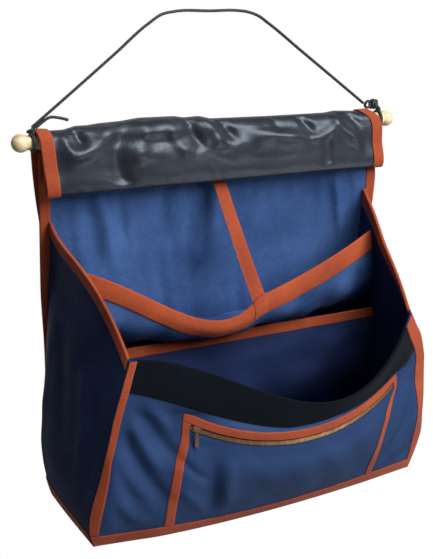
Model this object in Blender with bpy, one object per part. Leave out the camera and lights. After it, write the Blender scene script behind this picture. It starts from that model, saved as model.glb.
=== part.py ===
"""A hanging stable bag: a wooden dowel on a cord carries a deep cloth bag with a folded lid.

Run with: blender --background --python part.py, or from the text editor.
Metres, +Z up, X along the dowel, the front of the bag towards -Y.
The origin is the underside of the cord where it lies over its rail.
Shapes are written in the dowel's frame: z = 0 is the dowel's axis, and the
empty dowel_axis carries them to their place below the origin.
"""

import math

import bmesh
import bpy
import numpy as np
from mathutils import Vector
from mathutils.bvhtree import BVHTree

# Cloth, tape and the clearances between sewn pieces
CLOTH = 0.0024
TAPE = 0.0010
GAP = 0.0003
TAPE_ROOM = 0.0005
STRAP_ROOM = 0.0009
SEAM_ROOM = 0.0008

# The bag's width drives the sleeve, the dowel and the cord
BACK_WIDTH = 0.6020
SLEEVE_END_ROOM = 0.0010
KNOB_REACH = 0.0300
CORD_LOOP_REACH = 0.0125
SLEEVE_LENGTH = BACK_WIDTH - 2 * SLEEVE_END_ROOM
KNOB_SPAN = SLEEVE_LENGTH + 2 * KNOB_REACH
CORD_LOOP_X = SLEEVE_LENGTH / 2 + CORD_LOOP_REACH

# Dowel, knobs and sleeve
DOWEL_RADIUS = 0.0110
KNOB_RADIUS = 0.0140
KNOB_SOCKET_DEPTH = 0.0110
SLEEVE_CLEARANCE = 0.0008
SLEEVE_PLY = 0.0024
DOWEL_CHAMFER = 0.0008

# Hanging cord: its route in shares of the loops' reach, and heights above the dowel's axis
CORD_RADIUS = 0.0024
CORD_RISE = 0.1865
CORD_SPACING = 0.0120
CORD_ROUTE = (
    (-0.9968, 0.0223), (-0.7808, 0.0735), (-0.5648, 0.1254), (-0.3840, 0.1693),
    (-0.3136, 0.1822), (-0.2432, 0.1863), (-0.0480, CORD_RISE), (0.1056, CORD_RISE),
    (0.1568, 0.1847), (0.2240, 0.1783), (0.2880, 0.1658), (0.4800, 0.1230),
    (0.6880, 0.0766), (0.9018, 0.0287),
)
CORD_TAIL_ROUTE = (
    (0.0056, -0.0042, 0.0215), (0.0150, -0.0044, 0.0289), (0.0285, -0.0046, 0.0363),
    (0.0420, -0.0050, 0.0348), (0.0560, -0.0050, 0.0308),
)
KNOT_TURNS = 28
KNOT_SIDES = 8
LEFT_LUMP_SIZE = (0.0042, 0.0056, 0.0048)
LEFT_LUMP_REACH = 0.0029
RIGHT_LUMP_SIZE = (0.0125, 0.0095, 0.0086)
RIGHT_LUMP_REACH = 0.0157
RIGHT_LUMP_HEIGHT = 0.0265
KNOT_NECK_RADIUS = 0.0036

# Back panel
BACK_FOOT_WIDTH = 0.5930
BACK_TAPER_TOP = 0.2300
BACK_TAPER_FOOT = 0.3600
BACK_MID_SETBACK = 0.0350
BACK_FOOT_SETBACK = 0.0570
BACK_FLANGE = 0.0180
BACK_FLANGE_FOOT = 0.0065
FLANGE_TOP_DROP = 0.1500
FLANGE_FOOT_DROP = 0.3400
BACK_RIGHT_PULL = 0.0270
BACK_PULL_TOP = 0.0500
BACK_PULL_FOOT = 0.3000
BACK_PULL_PEAK = 0.3300
BACK_COLUMNS = 8

# Front panel: its top corners, its foot and its full, sagging mouth
BASE_DROP = 0.5920
BASE_PLY = 0.0030
FRONT_TOP_WIDTH = 0.4960
FRONT_TOP_DROP = 0.2890
FRONT_TOP_REACH = 0.2070
FRONT_FOOT_LEFT = (-0.2985, -0.1650)
FRONT_FOOT_RIGHT = (0.2905, -0.1690)
FRONT_FOOT_BULGE = 0.0242
FRONT_FOOT_PEAK = 0.4300
FRONT_RIGHT_BULGES = ((0.0, 0.0), (0.08, 0.0165), (0.26, 0.028), (0.5, 0.029), (0.8, 0.025), (1, 0))
FRONT_LEFT_BULGES = ((0.0, 0.0), (0.3, 0.007), (0.6, 0.008), (0.84, 0.0155), (0.94, 0.009), (1, 0))
MOUTH_SAG = 0.1130
MOUTH_BULGE = 0.0350
MOUTH_SAG_PEAK = 0.6700
BAND_HEIGHT = 0.0490
BAND_TRIM_ROOM = 0.0030
BAND_FOOT_SAG = 0.0930
BAND_FOOT_BULGE = 0.0400
BAND_SAG_PEAK = 0.6000
BELLY_LEAN = 0.2500
BELLY_TUCK = 0.5000
ZIP_ROW_LEVELS = (0.270, 0.325, 0.360, 0.420)
BELLY_LEVELS = (0.53, 0.65, 0.77, 0.88)

# Gussets
GUSSET_TOP_DROP = 0.1130
GUSSET_ARCH_LEFT = 0.0300
GUSSET_ARCH_RIGHT = 0.0040
GUSSET_ARCH_PEAK = 0.6500
GUSSET_LEFT_BULGES = ((0.15, 0.0), (0.35, 0.008), (0.55, 0.018), (0.75, 0.026), (0.9, 0.022), (1, 0.012))
GUSSET_RIGHT_BULGES = ((0.2, 0.0), (0.5, 0.009), (0.75, 0.012), (1, 0.004))
GUSSET_BULGE_PEAK = 0.1800

# Zip pocket on the front panel: the zip hangs in an arc in a plane that leans forward
ZIP_CENTRE_X = 0.0300
ZIP_LOW_DROP = 0.4525
ZIP_LOW_REACH = 0.2450
ZIP_HALF_CHORD = 0.1860
ZIP_ARC_DROP = 0.0455
ZIP_ARC_REACH = 0.0320
SLIT_WIDTH = 0.0100
TRIM_WIDTH = 0.0135
TRIM_EDGE = 0.0015
POCKET_FOOT_LEFT = -0.1920
POCKET_FOOT_RIGHT = 0.1960
ZIP_TAPE_WIDTH = 0.0140
ZIP_TAPE_PLY = 0.0008
TOOTH_PITCH = 0.0050
TOOTH_LENGTH = 0.0021
TOOTH_REACH = 0.0030
TOOTH_HOOK = 0.0014
BEAD_WIDTH = 0.0012
TOOTH_HEIGHT = 0.0020
ZIP_END_ROOM = 0.0040
STOP_LENGTH = 0.0030
LINING_PLY = 0.0010
LINING_INSET = 0.2000
LINING_TOP_ROOM = 0.0500

# Zip slider and its pull, along the zip, across it and out of the panel
SLIDER_LENGTH = 0.0110
SLIDER_PLATE = 0.0013
SLIDER_LIP = 0.0011
SLIDER_BEVEL = 0.0004
SLIDER_TOP_SHARE = 0.7200
SLIDER_BODY_SHARE = 0.7000
BRIDGE_SHARE = 0.6200
BRIDGE_RADIUS = 0.0006
BRIDGE_HEIGHT = 0.0042
RING_RADIUS = 0.0017
RING_WIRE = 0.0005
PULL_WIDTH = 0.0058
PULL_THICKNESS = 0.0014
PULL_OUTLINE = (
    (0.0, 0.22), (0.0030, 0.30), (0.0060, 0.46), (0.0213, 0.50), (0.0229, 0.40), (0.0235, 0.20),
)

# Bindings
EDGE_STRIP_WIDTH = 0.0120
MOUTH_BINDING_DEPTH = 0.0190
UPPER_BINDING_DEPTH = 0.0310
LOWER_BINDING_DEPTH = 0.0150
BACK_BINDING_WIDTH = 0.0160
LID_BINDING_WIDTH = 0.0190
BINDING_END_ROOM = 0.0020

# Pockets hung inside, between the gussets
UPPER_END_REACH = 0.0480
UPPER_END_DROP = 0.1890
UPPER_CENTRE_X = 0.0240
UPPER_CENTRE_REACH = 0.1050
UPPER_CENTRE_DROP = 0.2600
UPPER_LEFT_SAG = 0.0450
UPPER_LEFT_PEAK = 0.6700
UPPER_LEFT_FULLNESS = 0.0180
UPPER_LEFT_FULL_PEAK = 0.4500
UPPER_RIGHT_FULLNESS = 0.0120
UPPER_FOOT_DROP = 0.3300
UPPER_BELLY = 0.0350
POCKET_FOOT_ROOM = 0.0014
POCKET_UPPER_HANDLE = (0.40, 0.45)
POCKET_LOWER_HANDLE = (0.35, 0.50, 0.10)
POCKET_END_ROOM = 0.0009
LOWER_TOP_REACH = 0.0400
LOWER_TOP_DROP = 0.3370
LOWER_FOOT_DROP = 0.5200
LOWER_BELLY = 0.0300
STRAP_WIDTH = 0.0220
STRAP_TOP_DROP = 0.0300
STRAP_SEWN_DROP = 0.0560
STRAP_TOP_X = -0.0080
STRAP_COLUMN = 12
STRAP_OVER_SHARE = 0.4000
STRAP_END_ROWS = (1.0, 1.8)

# Lid, folded up in front of the dowel and thrown over it
LID_FRONT_HINGE_SPAN = (-0.3045, 0.3020)
LID_TOP_SPAN = (-0.3065, 0.2860)
LID_TAIL_HINGE_SPAN = (-0.3065, 0.2900)
LID_FOLD_SPAN = (-0.3000, 0.3060)
LID_SEAM_SPAN = (-0.2990, 0.2940)
LID_TAIL_NARROWING = (0.0190, 0.0120)
LID_ARCH_REACH = 0.0220
LID_FOLD_DROP = 0.0790
LID_FOLD_REACH = 0.0300
LID_FOLD_RADIUS = 0.0048
LID_SEAM_ANGLE = 42.0
TAIL_DROP = 0.1900
CLOSURE_STRIP_HEIGHT = 0.0400
LID_STRIP_INSET = 0.0130

# Finishes: sRGB colour, roughness, metallic
FINISHES = {
    "blue_cloth": ((58, 80, 125), 0.80, 0.0),
    "blue_cloth_shaded": ((38, 52, 88), 0.82, 0.0),
    "grey_lining": ((60, 64, 74), 0.38, 0.0),
    "rust_tape": ((176, 76, 48), 0.78, 0.0),
    "dark_strip": ((16, 25, 34), 0.95, 0.0),
    "black_cord": ((24, 25, 28), 0.70, 0.0),
    "pale_wood": ((222, 198, 160), 0.55, 0.0),
    "zip_tape_brown": ((92, 66, 52), 0.80, 0.0),
    "antique_brass": ((132, 98, 58), 0.42, 1.0),
}

DOWEL_DROP = CORD_RISE - CORD_RADIUS
SLEEVE_INNER = DOWEL_RADIUS + SLEEVE_CLEARANCE
SLEEVE_OUTER = SLEEVE_INNER + SLEEVE_PLY
HALF_CLOTH = CLOTH / 2
TAPE_INNER = HALF_CLOTH + TAPE_ROOM
TAPE_OUTER = TAPE_INNER + TAPE
LID_HINGE_ROOM = TAPE_OUTER + 3 * GAP
BACK_HALF = BACK_WIDTH / 2


def vec(x, y, z):
    return np.array((x, y, z), dtype=float)


def unit(v):
    v = np.asarray(v, dtype=float)
    return v / np.linalg.norm(v, axis=-1, keepdims=True)


def mix(a, b, t):
    return a + (b - a) * t


def smooth(t):
    t = np.clip(t, 0.0, 1.0)
    return t * t * (3 - 2 * t)


def sag(u, peak):
    """A sag that is 0 at both ends and 1 at u = peak."""
    power = math.log(0.5) / math.log(peak)
    skewed = np.clip(u, 0.0, 1.0) ** power
    return 4 * skewed * (1 - skewed)


def spaced(first, last, count):
    return list(np.linspace(first, last, count))


def clear_scene():
    for obj in list(bpy.data.objects):
        bpy.data.objects.remove(obj, do_unlink=True)


def make_material(finish):
    if finish in bpy.data.materials:
        return bpy.data.materials[finish]
    colour, roughness, metallic = FINISHES[finish]
    material = bpy.data.materials.new(finish)
    material.use_nodes = True
    surface = material.node_tree.nodes["Principled BSDF"]
    linear = [((c / 255 + 0.055) / 1.055) ** 2.4 for c in colour]
    surface.inputs["Base Color"].default_value = (*linear, 1.0)
    surface.inputs["Roughness"].default_value = roughness
    surface.inputs["Metallic"].default_value = metallic
    return material


def make_empty(name, location, parent=None):
    empty = bpy.data.objects.new(name, None)
    empty.location = location
    empty.empty_display_size = 0.02
    empty.parent = parent
    bpy.context.scene.collection.objects.link(empty)
    return empty


def make_object(name, bm, finish, parent, pivot=(0.0, 0.0, 0.0)):
    """Turns a bmesh in the dowel's frame into an object whose origin is its pivot."""
    bm.normal_update()
    bmesh.ops.recalc_face_normals(bm, faces=bm.faces)
    bmesh.ops.translate(bm, verts=bm.verts, vec=-Vector(pivot))
    mesh = bpy.data.meshes.new(name)
    bm.to_mesh(mesh)
    bm.free()
    mesh.materials.append(make_material(finish))
    mesh.shade_smooth()
    mesh.set_sharp_from_angle(angle=math.radians(35))
    obj = bpy.data.objects.new(name, mesh)
    obj.location = pivot
    obj.parent = parent
    bpy.context.scene.collection.objects.link(obj)
    return obj


class Surface:
    """A sheet's middle surface: a grid of points, row by row, with their normals."""

    def __init__(self, points, outward):
        self.points = np.asarray(points, dtype=float)
        down = np.gradient(self.points, axis=0)
        along = np.gradient(self.points, axis=1)
        self.normals = unit(np.cross(down, along))
        self.mirrored = False
        middle = tuple(n // 2 for n in self.points.shape[:2])
        if self.normals[middle] @ np.asarray(outward, dtype=float) < 0:
            self.normals = -self.normals

    @property
    def rows(self):
        return self.points.shape[0]

    @property
    def columns(self):
        return self.points.shape[1]

    def level_row(self, row):
        """Makes a row's normals level, so that the sheet ends in a flat edge there."""
        self.normals[row, :, 2] = 0.0
        self.normals[row] = unit(self.normals[row])

    def at(self, row, column, offset=0.0):
        """The point at a fractional row and column, moved along the normal there."""
        r = min(max(int(row), 0), self.rows - 2)
        c = min(max(int(column), 0), self.columns - 2)
        fr = row - r
        fc = column - c
        grid = self.points + self.normals * offset if offset else self.points
        a, b = grid[r, c], grid[r, c + 1]
        d, e = grid[r + 1, c], grid[r + 1, c + 1]
        if self.mirrored:
            if fr + fc <= 1:
                return a + (b - a) * fc + (d - a) * fr
            return e + (d - e) * (1 - fc) + (b - e) * (1 - fr)
        if fc >= fr:
            return a + (b - a) * fc + (e - b) * fr
        return a + (d - a) * fr + (e - d) * fc

    def edge_up(self, side):
        """The same sheet turned so that its left (-1) or right (1) edge is the top row."""
        other = object.__new__(Surface)
        order = slice(None, None, -side)
        other.points = self.points[:, order].transpose(1, 0, 2)
        other.normals = self.normals[:, order].transpose(1, 0, 2)
        other.mirrored = side > 0
        return other

    def foot_up(self):
        """The same sheet with its last row as the top row."""
        other = object.__new__(Surface)
        other.points = self.points[::-1]
        other.normals = self.normals[::-1]
        other.mirrored = True
        return other

    def row_step(self, row, column, distance):
        """How far down in rows a distance is, at one column."""
        return distance / np.linalg.norm(self.at(row + 1, column) - self.at(row, column))

    def column_step(self, row, column, distance):
        return distance / np.linalg.norm(self.at(row, column + 1) - self.at(row, column))


def grid_slab(inner, outer, missing=(), turned_rows=()):
    """A closed slab between two grids of points, open where a cell is missing.

    All cells are split along the same diagonal, so that sheets laid on one
    another bend along the same lines. The rows in turned_rows use the other one.
    """
    rows, columns = inner.shape[:2]
    bm = bmesh.new()
    layers = []
    for grid in (inner, outer):
        layers.append([[bm.verts.new(p) for p in row] for row in grid])
    low, high = layers
    sides = set()
    for r in range(rows - 1):
        for c in range(columns - 1):
            if (r, c) in missing:
                continue
            ring = ((r, c), (r, c + 1), (r + 1, c + 1), (r + 1, c))
            if r in turned_rows:
                ring = ring[1:] + ring[:1]
            for half in ((0, 1, 2), (0, 2, 3)):
                corners = [ring[k] for k in half]
                bm.faces.new([low[i][j] for i, j in corners])
                bm.faces.new([high[i][j] for i, j in reversed(corners)])
            sides.update(zip(ring, ring[1:] + ring[:1]))
    for a, b in sorted(sides):
        if (b, a) not in sides:
            corners = (low[b[0]][b[1]], low[a[0]][a[1]], high[a[0]][a[1]], high[b[0]][b[1]])
            bm.faces.new(corners)
    return bm


def panel_mesh(surface, half=HALF_CLOTH, missing=()):
    return grid_slab(
        surface.points - surface.normals * half,
        surface.points + surface.normals * half,
        missing,
    )


def patch_mesh(surface, rows, columns, lower, upper):
    """A slab over part of a surface, between two offsets from its middle."""
    inner = np.array([[surface.at(r, c, lower) for c in columns] for r in rows])
    outer = np.array([[surface.at(r, c, upper) for c in columns] for r in rows])
    return grid_slab(inner, outer)


def inset_range(first, last, start_room, end_room):
    """The grid lines from first to last, with both ends drawn in."""
    start = first + start_room
    end = last - end_room
    inside = [float(i) for i in range(math.floor(start) + 1, math.ceil(end))]
    return [start, *inside, end]


def strip_mesh(surface, rows, columns, lower=TAPE_INNER, upper=TAPE_OUTER, room=GAP):
    """A flat tape sewn on a sheet, covering whole grid cells less a small room."""
    r0, r1 = rows
    c0, c1 = columns
    middle_row = (r0 + r1) / 2
    middle_column = (c0 + c1) / 2
    row_list = inset_range(
        r0,
        r1,
        surface.row_step(r0, middle_column, room),
        surface.row_step(r1 - 1, middle_column, room),
    )
    column_list = inset_range(
        c0,
        c1,
        surface.column_step(middle_row, c0, room),
        surface.column_step(middle_row, c1 - 1, room),
    )
    return patch_mesh(surface, row_list, column_list, lower, upper)


def loft(sections):
    """A closed body through a list of sections with equal numbers of points."""
    bm = bmesh.new()
    rings = [[bm.verts.new(p) for p in section] for section in sections]
    count = len(rings[0])
    for a, b in zip(rings, rings[1:]):
        for i in range(count):
            j = (i + 1) % count
            bm.faces.new((a[i], a[j], b[j], b[i]))
    bm.faces.new(rings[0])
    bm.faces.new(reversed(rings[-1]))
    return bm


def edge_tape(surface, front_legs, back_legs, start_room, end_room):
    """A tape folded over the top row of a surface.

    The legs are distances in rows, first the nearest one, as functions of the column.
    """
    inner, outer = [], []
    for column in inset_range(0, surface.columns - 1, start_room, end_room):
        edge = surface.at(0, column)
        into = unit(surface.at(1, column) - edge)
        for line, offset, lift in ((inner, TAPE_INNER, GAP), (outer, TAPE_OUTER, GAP + TAPE)):
            front = [surface.at(r, column, offset) for r in front_legs(column)]
            back = [surface.at(r, column, -offset) for r in back_legs(column)]
            crown = [surface.at(0, column, o) - into * lift for o in (offset, -offset)]
            line.append([*reversed(front), *crown, *back])
    inner = np.array(inner).transpose(1, 0, 2)
    outer = np.array(outer).transpose(1, 0, 2)
    front_count = len(front_legs(0))
    turned = range(front_count)
    if surface.mirrored:
        turned = range(front_count + 1, len(inner) - 1)
    return grid_slab(inner, outer, turned_rows=turned)


def even_tape(surface, depth, room):
    """A tape folded over the top row, as deep on both faces."""

    def legs(column):
        return [surface.row_step(0, column, depth)]

    start = surface.column_step(0, 0, room)
    end = surface.column_step(0, surface.columns - 2, room)
    return edge_tape(surface, legs, legs, start, end)


def box_mesh(centre, along, across, out, size):
    """A box with its own three axes."""
    half = np.asarray(size) / 2
    bm = bmesh.new()
    bmesh.ops.create_cube(bm, size=2.0)
    for vert in bm.verts:
        x, y, z = (vert.co[i] * half[i] for i in range(3))
        vert.co = centre + along * x + across * y + out * z
    return bm


def turned(profile, segments, axis_x):
    """Revolves a closed profile of (x, radius) pairs about a line along X."""
    bm = bmesh.new()
    rings = []
    for x, radius in profile:
        ring = []
        for i in range(segments):
            angle = 2 * math.pi * i / segments
            place = (axis_x + x, radius * math.cos(angle), radius * math.sin(angle))
            ring.append(bm.verts.new(place))
        rings.append(ring)
    for a, b in zip(rings, rings[1:] + rings[:1]):
        for i in range(segments):
            j = (i + 1) % segments
            bm.faces.new((a[i], a[j], b[j], b[i]))
    return bm


# Shape of the bag


def back_setback(drop):
    """How far behind the dowel the back panel hangs at a drop: a curve through three places."""
    top = SLEEVE_OUTER + GAP
    middle = (top + BASE_DROP) / 2
    t = (np.asarray(drop, dtype=float) - top) / (BASE_DROP - top)
    half = (middle - top) / (BASE_DROP - top)
    bend = (BACK_MID_SETBACK - BACK_FOOT_SETBACK * half) / (half * (1 - half))
    return BACK_FOOT_SETBACK * t + bend * t * (1 - t)


def back_half(drop):
    """Half the back panel's width: it draws in below its middle."""
    t = (drop - BACK_TAPER_TOP) / (BACK_TAPER_FOOT - BACK_TAPER_TOP)
    return mix(BACK_HALF, BACK_FOOT_WIDTH / 2, smooth(t))


def back_columns(drop):
    """The back panel's grid lines: its edges, its bindings' inner edges, then even steps."""
    half = back_half(drop)
    inner = half - BACK_BINDING_WIDTH
    return [-half, *spaced(-inner, inner, BACK_COLUMNS - 1), half]


def right_pull(x, drop):
    """How far the back panel's right edge is drawn forward, over its last two columns."""
    columns = back_columns(drop)
    start = columns[-3]
    share = max(x - start, 0.0) / (columns[-1] - start)
    level = sag((drop - BACK_PULL_TOP) / (BACK_PULL_FOOT - BACK_PULL_TOP), BACK_PULL_PEAK)
    return BACK_RIGHT_PULL * share * level


def flange(drop):
    """Width of the back panel beyond the gusset: wide at the top, narrow below."""
    t = (drop - FLANGE_TOP_DROP) / (FLANGE_FOOT_DROP - FLANGE_TOP_DROP)
    return mix(BACK_FLANGE, BACK_FLANGE_FOOT, smooth(t))


def front_side(t, side):
    """The front panel's side edge, from its top corner at t = 0 to the foot at t = 1."""
    top = vec(side * FRONT_TOP_WIDTH / 2, -FRONT_TOP_REACH, -FRONT_TOP_DROP)
    foot = vec(*(FRONT_FOOT_LEFT if side < 0 else FRONT_FOOT_RIGHT), -BASE_DROP)
    point = mix(top, foot, t)
    shares, bulges = zip(*(FRONT_RIGHT_BULGES if side > 0 else FRONT_LEFT_BULGES))
    point[0] += side * float(np.interp(t, shares, bulges))
    return point


class ZipArc:
    """The zip's path: an arc about an axis that leans forward with the full panel."""

    def __init__(self):
        depth = math.hypot(ZIP_ARC_DROP, ZIP_ARC_REACH)
        self.radius = (ZIP_HALF_CHORD**2 + depth**2) / (2 * depth)
        self.half_angle = math.asin(ZIP_HALF_CHORD / self.radius)
        self.fall = vec(0, -ZIP_ARC_REACH, -ZIP_ARC_DROP) / depth
        self.axis = np.cross(self.fall, vec(1, 0, 0))
        low = vec(ZIP_CENTRE_X, -ZIP_LOW_REACH, -ZIP_LOW_DROP)
        self.centre = low - self.fall * self.radius
        self.lean = math.atan2(ZIP_ARC_REACH, ZIP_ARC_DROP)

    def frame(self, angle):
        """The point of the zip at an angle, and its along, across and outward directions."""
        radial = self.fall * math.cos(angle) + vec(1, 0, 0) * math.sin(angle)
        along = vec(1, 0, 0) * math.cos(angle) - self.fall * math.sin(angle)
        outward = self.axis * math.cos(self.lean) + radial * math.sin(self.lean)
        across = radial * math.cos(self.lean) - self.axis * math.sin(self.lean)
        return self.centre + radial * self.radius, along, across, outward

    def at(self, angle, across=0.0, outward=0.0, along=0.0):
        point, t, d, n = self.frame(angle)
        return point + t * along + d * across + n * outward


class FrontLayout:
    """Names of the front panel's grid rows and columns."""

    def __init__(self, zip_columns):
        self.mouth, self.band_foot, self.trim_top, self.slit_top = 0, 2, 3, 4
        self.slit_foot, self.tape_foot, self.strip_top, self.foot = 5, 6, 11, 12
        self.left, self.left_strip, self.trim_left, self.slit_left = 0, 1, 3, 4
        self.slit_right = self.slit_left + zip_columns
        self.trim_right = self.slit_right + 1
        self.right_strip = self.trim_right + 2
        self.right = self.trim_right + 3


def front_surface(arc, layout):
    """The front panel's middle surface, with grid lines along every tape and trim."""
    zip_columns = layout.slit_right - layout.slit_left
    trim_angle = TRIM_WIDTH / arc.radius
    inner = spaced(-arc.half_angle, arc.half_angle, zip_columns + 1)
    angles = [inner[0] - trim_angle, *inner, inner[-1] + trim_angle]
    side_length = np.linalg.norm(front_side(1, -1) - front_side(0, -1))
    band = BAND_HEIGHT / side_length
    strip = 1 - EDGE_STRIP_WIDTH / side_length
    levels = [0, band / 2, band, *ZIP_ROW_LEVELS, *BELLY_LEVELS, strip, 1]
    slit = SLIT_WIDTH / 2
    trim_foot = -slit
    trim_top = trim_foot - TRIM_WIDTH
    across = {3: trim_top, 4: -slit, 5: slit, 6: slit + ZIP_TAPE_WIDTH}
    rows = []

    def with_sides(middle, level):
        """Adds the three columns beyond the pocket at each end of a row."""
        row = list(middle)
        for side in (-1, 1):
            corner = front_side(level, side)
            inside = row[0] if side < 0 else row[-1]
            towards = unit(inside - corner)
            tape = corner + towards * EDGE_STRIP_WIDTH
            extra = [corner, tape, mix(tape, inside, 0.5)]
            row = extra + row if side < 0 else row + extra[::-1]
        return row

    zip_rows = {}
    for index, distance in across.items():
        middle = [arc.at(a, distance) for a in angles]
        zip_rows[index] = with_sides(middle, levels[index])

    def guided(level, drop, bulge, peak):
        """A row above the pocket: a sagging line between the side edges."""
        ends = [front_side(level, side) for side in (-1, 1)]
        width = np.linalg.norm(ends[1] - ends[0])
        guide = np.array(zip_rows[3])[:, 0]
        shares = (guide - guide[0]) / (guide[-1] - guide[0])
        shares[1] = EDGE_STRIP_WIDTH / width
        shares[-2] = 1 - EDGE_STRIP_WIDTH / width
        row = []
        for u in shares:
            point = mix(ends[0], ends[1], u)
            row.append(point + vec(0, -bulge, -drop) * sag(u, peak))
        return row

    mouth = guided(levels[0], MOUTH_SAG, MOUTH_BULGE, MOUTH_SAG_PEAK)
    band_foot = guided(levels[2], BAND_FOOT_SAG, BAND_FOOT_BULGE, BAND_SAG_PEAK)
    for c in range(layout.trim_left, layout.trim_right + 1):
        lift = zip_rows[3][c][2] + BAND_TRIM_ROOM - band_foot[c][2]
        band_foot[c] = band_foot[c] + vec(0, 0, max(lift, 0.0))
    rows.append(mouth)
    rows.append([mix(a, b, 0.5) for a, b in zip(mouth, band_foot)])
    rows.append(band_foot)
    rows.extend(zip_rows[i] for i in (3, 4, 5, 6))

    feet = [POCKET_FOOT_LEFT]
    feet.extend(
        spaced(POCKET_FOOT_LEFT + TRIM_WIDTH, POCKET_FOOT_RIGHT - TRIM_WIDTH, zip_columns + 1)
    )
    feet.append(POCKET_FOOT_RIGHT)
    foot = []
    for x in feet:
        u = (x - FRONT_FOOT_LEFT[0]) / (FRONT_FOOT_RIGHT[0] - FRONT_FOOT_LEFT[0])
        y = mix(FRONT_FOOT_LEFT[1], FRONT_FOOT_RIGHT[1], u)
        foot.append(vec(x, y - FRONT_FOOT_BULGE * sag(u, FRONT_FOOT_PEAK), -BASE_DROP))
    foot = with_sides(foot, 1.0)
    count = len(foot)
    for index in range(7, 12):
        level = levels[index]
        s = (level - levels[6]) / (1 - levels[6])
        row = []
        for c in range(count):
            top, low = zip_rows[6][c], foot[c]
            height = np.linalg.norm(low - top)
            lean = vec(low[0] - top[0], -BELLY_LEAN * height, -height)
            tuck = vec(low[0] - top[0], BELLY_TUCK * height, -height)
            point = (
                top * (2 * s**3 - 3 * s**2 + 1)
                + lean * (s**3 - 2 * s**2 + s)
                + low * (3 * s**2 - 2 * s**3)
                + tuck * (s**3 - s**2)
            )
            nearest = min(c, count - 1 - c)
            if nearest < layout.trim_left:
                side = -1 if c < count / 2 else 1
                free = mix(front_side(level, side), point, nearest / layout.trim_left)
                point = free if nearest == 0 else mix(free, point, 0.5)
            row.append(point)
        rows.append(row)
    rows.append(foot)
    surface = Surface(rows, (0, -1, 0))
    for index in (3, 4, 5, 6):
        for k, angle in enumerate(angles):
            surface.normals[index, layout.trim_left + k] = arc.frame(angle)[3]
    surface.level_row(layout.foot)
    surface.level_row(layout.strip_top)
    return surface


def gusset_surface(front, side):
    """A gusset between the back panel and the front panel, cut to both."""
    column = 0 if side < 0 else front.columns - 1
    neighbour = 1 if side < 0 else front.columns - 2
    rows = front.rows
    front_edge = []
    back_edge = []
    side_levels = (front.points[:, column, 2] + FRONT_TOP_DROP) / (FRONT_TOP_DROP - BASE_DROP)
    for r in range(rows):
        point = front.points[r, column]
        along = front.points[r, neighbour] - point
        slope = abs(along[1] / along[0])
        behind = HALF_CLOTH + SEAM_ROOM + CLOTH * slope
        front_edge.append(point + vec(-side * HALF_CLOTH, behind, 0))
        drop = mix(GUSSET_TOP_DROP, BASE_DROP, side_levels[r])
        x = side * (back_half(drop) - flange(drop))
        y = back_setback(drop) - right_pull(x, drop) - HALF_CLOTH - SEAM_ROOM
        back_edge.append(vec(x, y, -drop))
    columns = 9
    arch = GUSSET_ARCH_LEFT if side < 0 else GUSSET_ARCH_RIGHT
    shares, bulges = zip(*(GUSSET_LEFT_BULGES if side < 0 else GUSSET_RIGHT_BULGES))
    grid = []
    for r in range(rows):
        t = side_levels[r]
        bulge = float(np.interp(t, shares, bulges))
        line = []
        for c in range(columns):
            w = c / (columns - 1)
            point = mix(back_edge[r], front_edge[r], w)
            point[2] += arch * sag(w, GUSSET_ARCH_PEAK) * (1 - t) ** 2
            point[0] += side * bulge * sag(w, GUSSET_BULGE_PEAK)
            line.append(point)
        grid.append(line)
    surface = Surface(grid, (side, 0, 0))
    surface.normals[:, 0] = (side, 0, 0)
    surface.level_row(rows - 1)
    surface.level_row(rows - 2)
    return surface


def back_surface(gusset):
    """The back panel: above the gussets it hangs free, below it shares their rows."""
    drops = [SLEEVE_OUTER + GAP, 0.045, 0.080]
    drops.extend(-gusset.points[:, 0, 2])
    grid = []
    for drop in drops:
        y = float(back_setback(drop))
        grid.append([vec(x, y - right_pull(x, drop), -drop) for x in back_columns(drop)])
    surface = Surface(grid, (0, 1, 0))
    surface.level_row(surface.rows - 1)
    surface.level_row(surface.rows - 2)
    return surface


# Woodwork and cord


def build_dowel(root):
    reach = KNOB_SPAN / 2 - KNOB_RADIUS + KNOB_SOCKET_DEPTH - GAP
    profile = [
        (-reach, 0.0),
        (-reach, DOWEL_RADIUS - DOWEL_CHAMFER),
        (-reach + DOWEL_CHAMFER, DOWEL_RADIUS),
        (reach - DOWEL_CHAMFER, DOWEL_RADIUS),
        (reach, DOWEL_RADIUS - DOWEL_CHAMFER),
        (reach, 0.0),
    ]
    bm = turned(profile, 32, 0.0)
    bmesh.ops.remove_doubles(bm, verts=bm.verts, dist=1e-6)
    bmesh.ops.dissolve_degenerate(bm, edges=bm.edges, dist=1e-6)
    make_object("dowel", bm, "pale_wood", root)


def build_knob(root, name, side):
    """A ball with a flat-bottomed socket that the dowel's end is glued into."""
    bore = DOWEL_RADIUS + GAP
    mouth = math.sqrt(KNOB_RADIUS**2 - bore**2)
    start = math.atan2(bore, -mouth)
    profile = []
    for angle in spaced(start, 0.0, 11):
        profile.append((KNOB_RADIUS * math.cos(angle), KNOB_RADIUS * math.sin(angle)))
    bottom = -KNOB_RADIUS + KNOB_SOCKET_DEPTH
    profile.append((bottom, 0.0))
    profile.append((bottom, bore))
    bm = turned([(side * x, radius) for x, radius in profile], 32, side * KNOB_SPAN / 2)
    bmesh.ops.remove_doubles(bm, verts=bm.verts, dist=1e-6)
    seam = [e for e in bm.edges if e.calc_length() < 1e-6]
    bmesh.ops.dissolve_degenerate(bm, edges=seam, dist=1e-6)
    axis = [f for f in bm.faces if f.calc_area() < 1e-12]
    bmesh.ops.delete(bm, geom=axis, context="FACES")
    make_object(name, bm, "pale_wood", root)


def build_sleeve(root):
    half = SLEEVE_LENGTH / 2
    profile = [
        (-half, SLEEVE_INNER),
        (half, SLEEVE_INNER),
        (half, SLEEVE_OUTER),
        (-half, SLEEVE_OUTER),
    ]
    make_object("dowel_sleeve", turned(profile, 32, 0.0), "blue_cloth", root)


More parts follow.
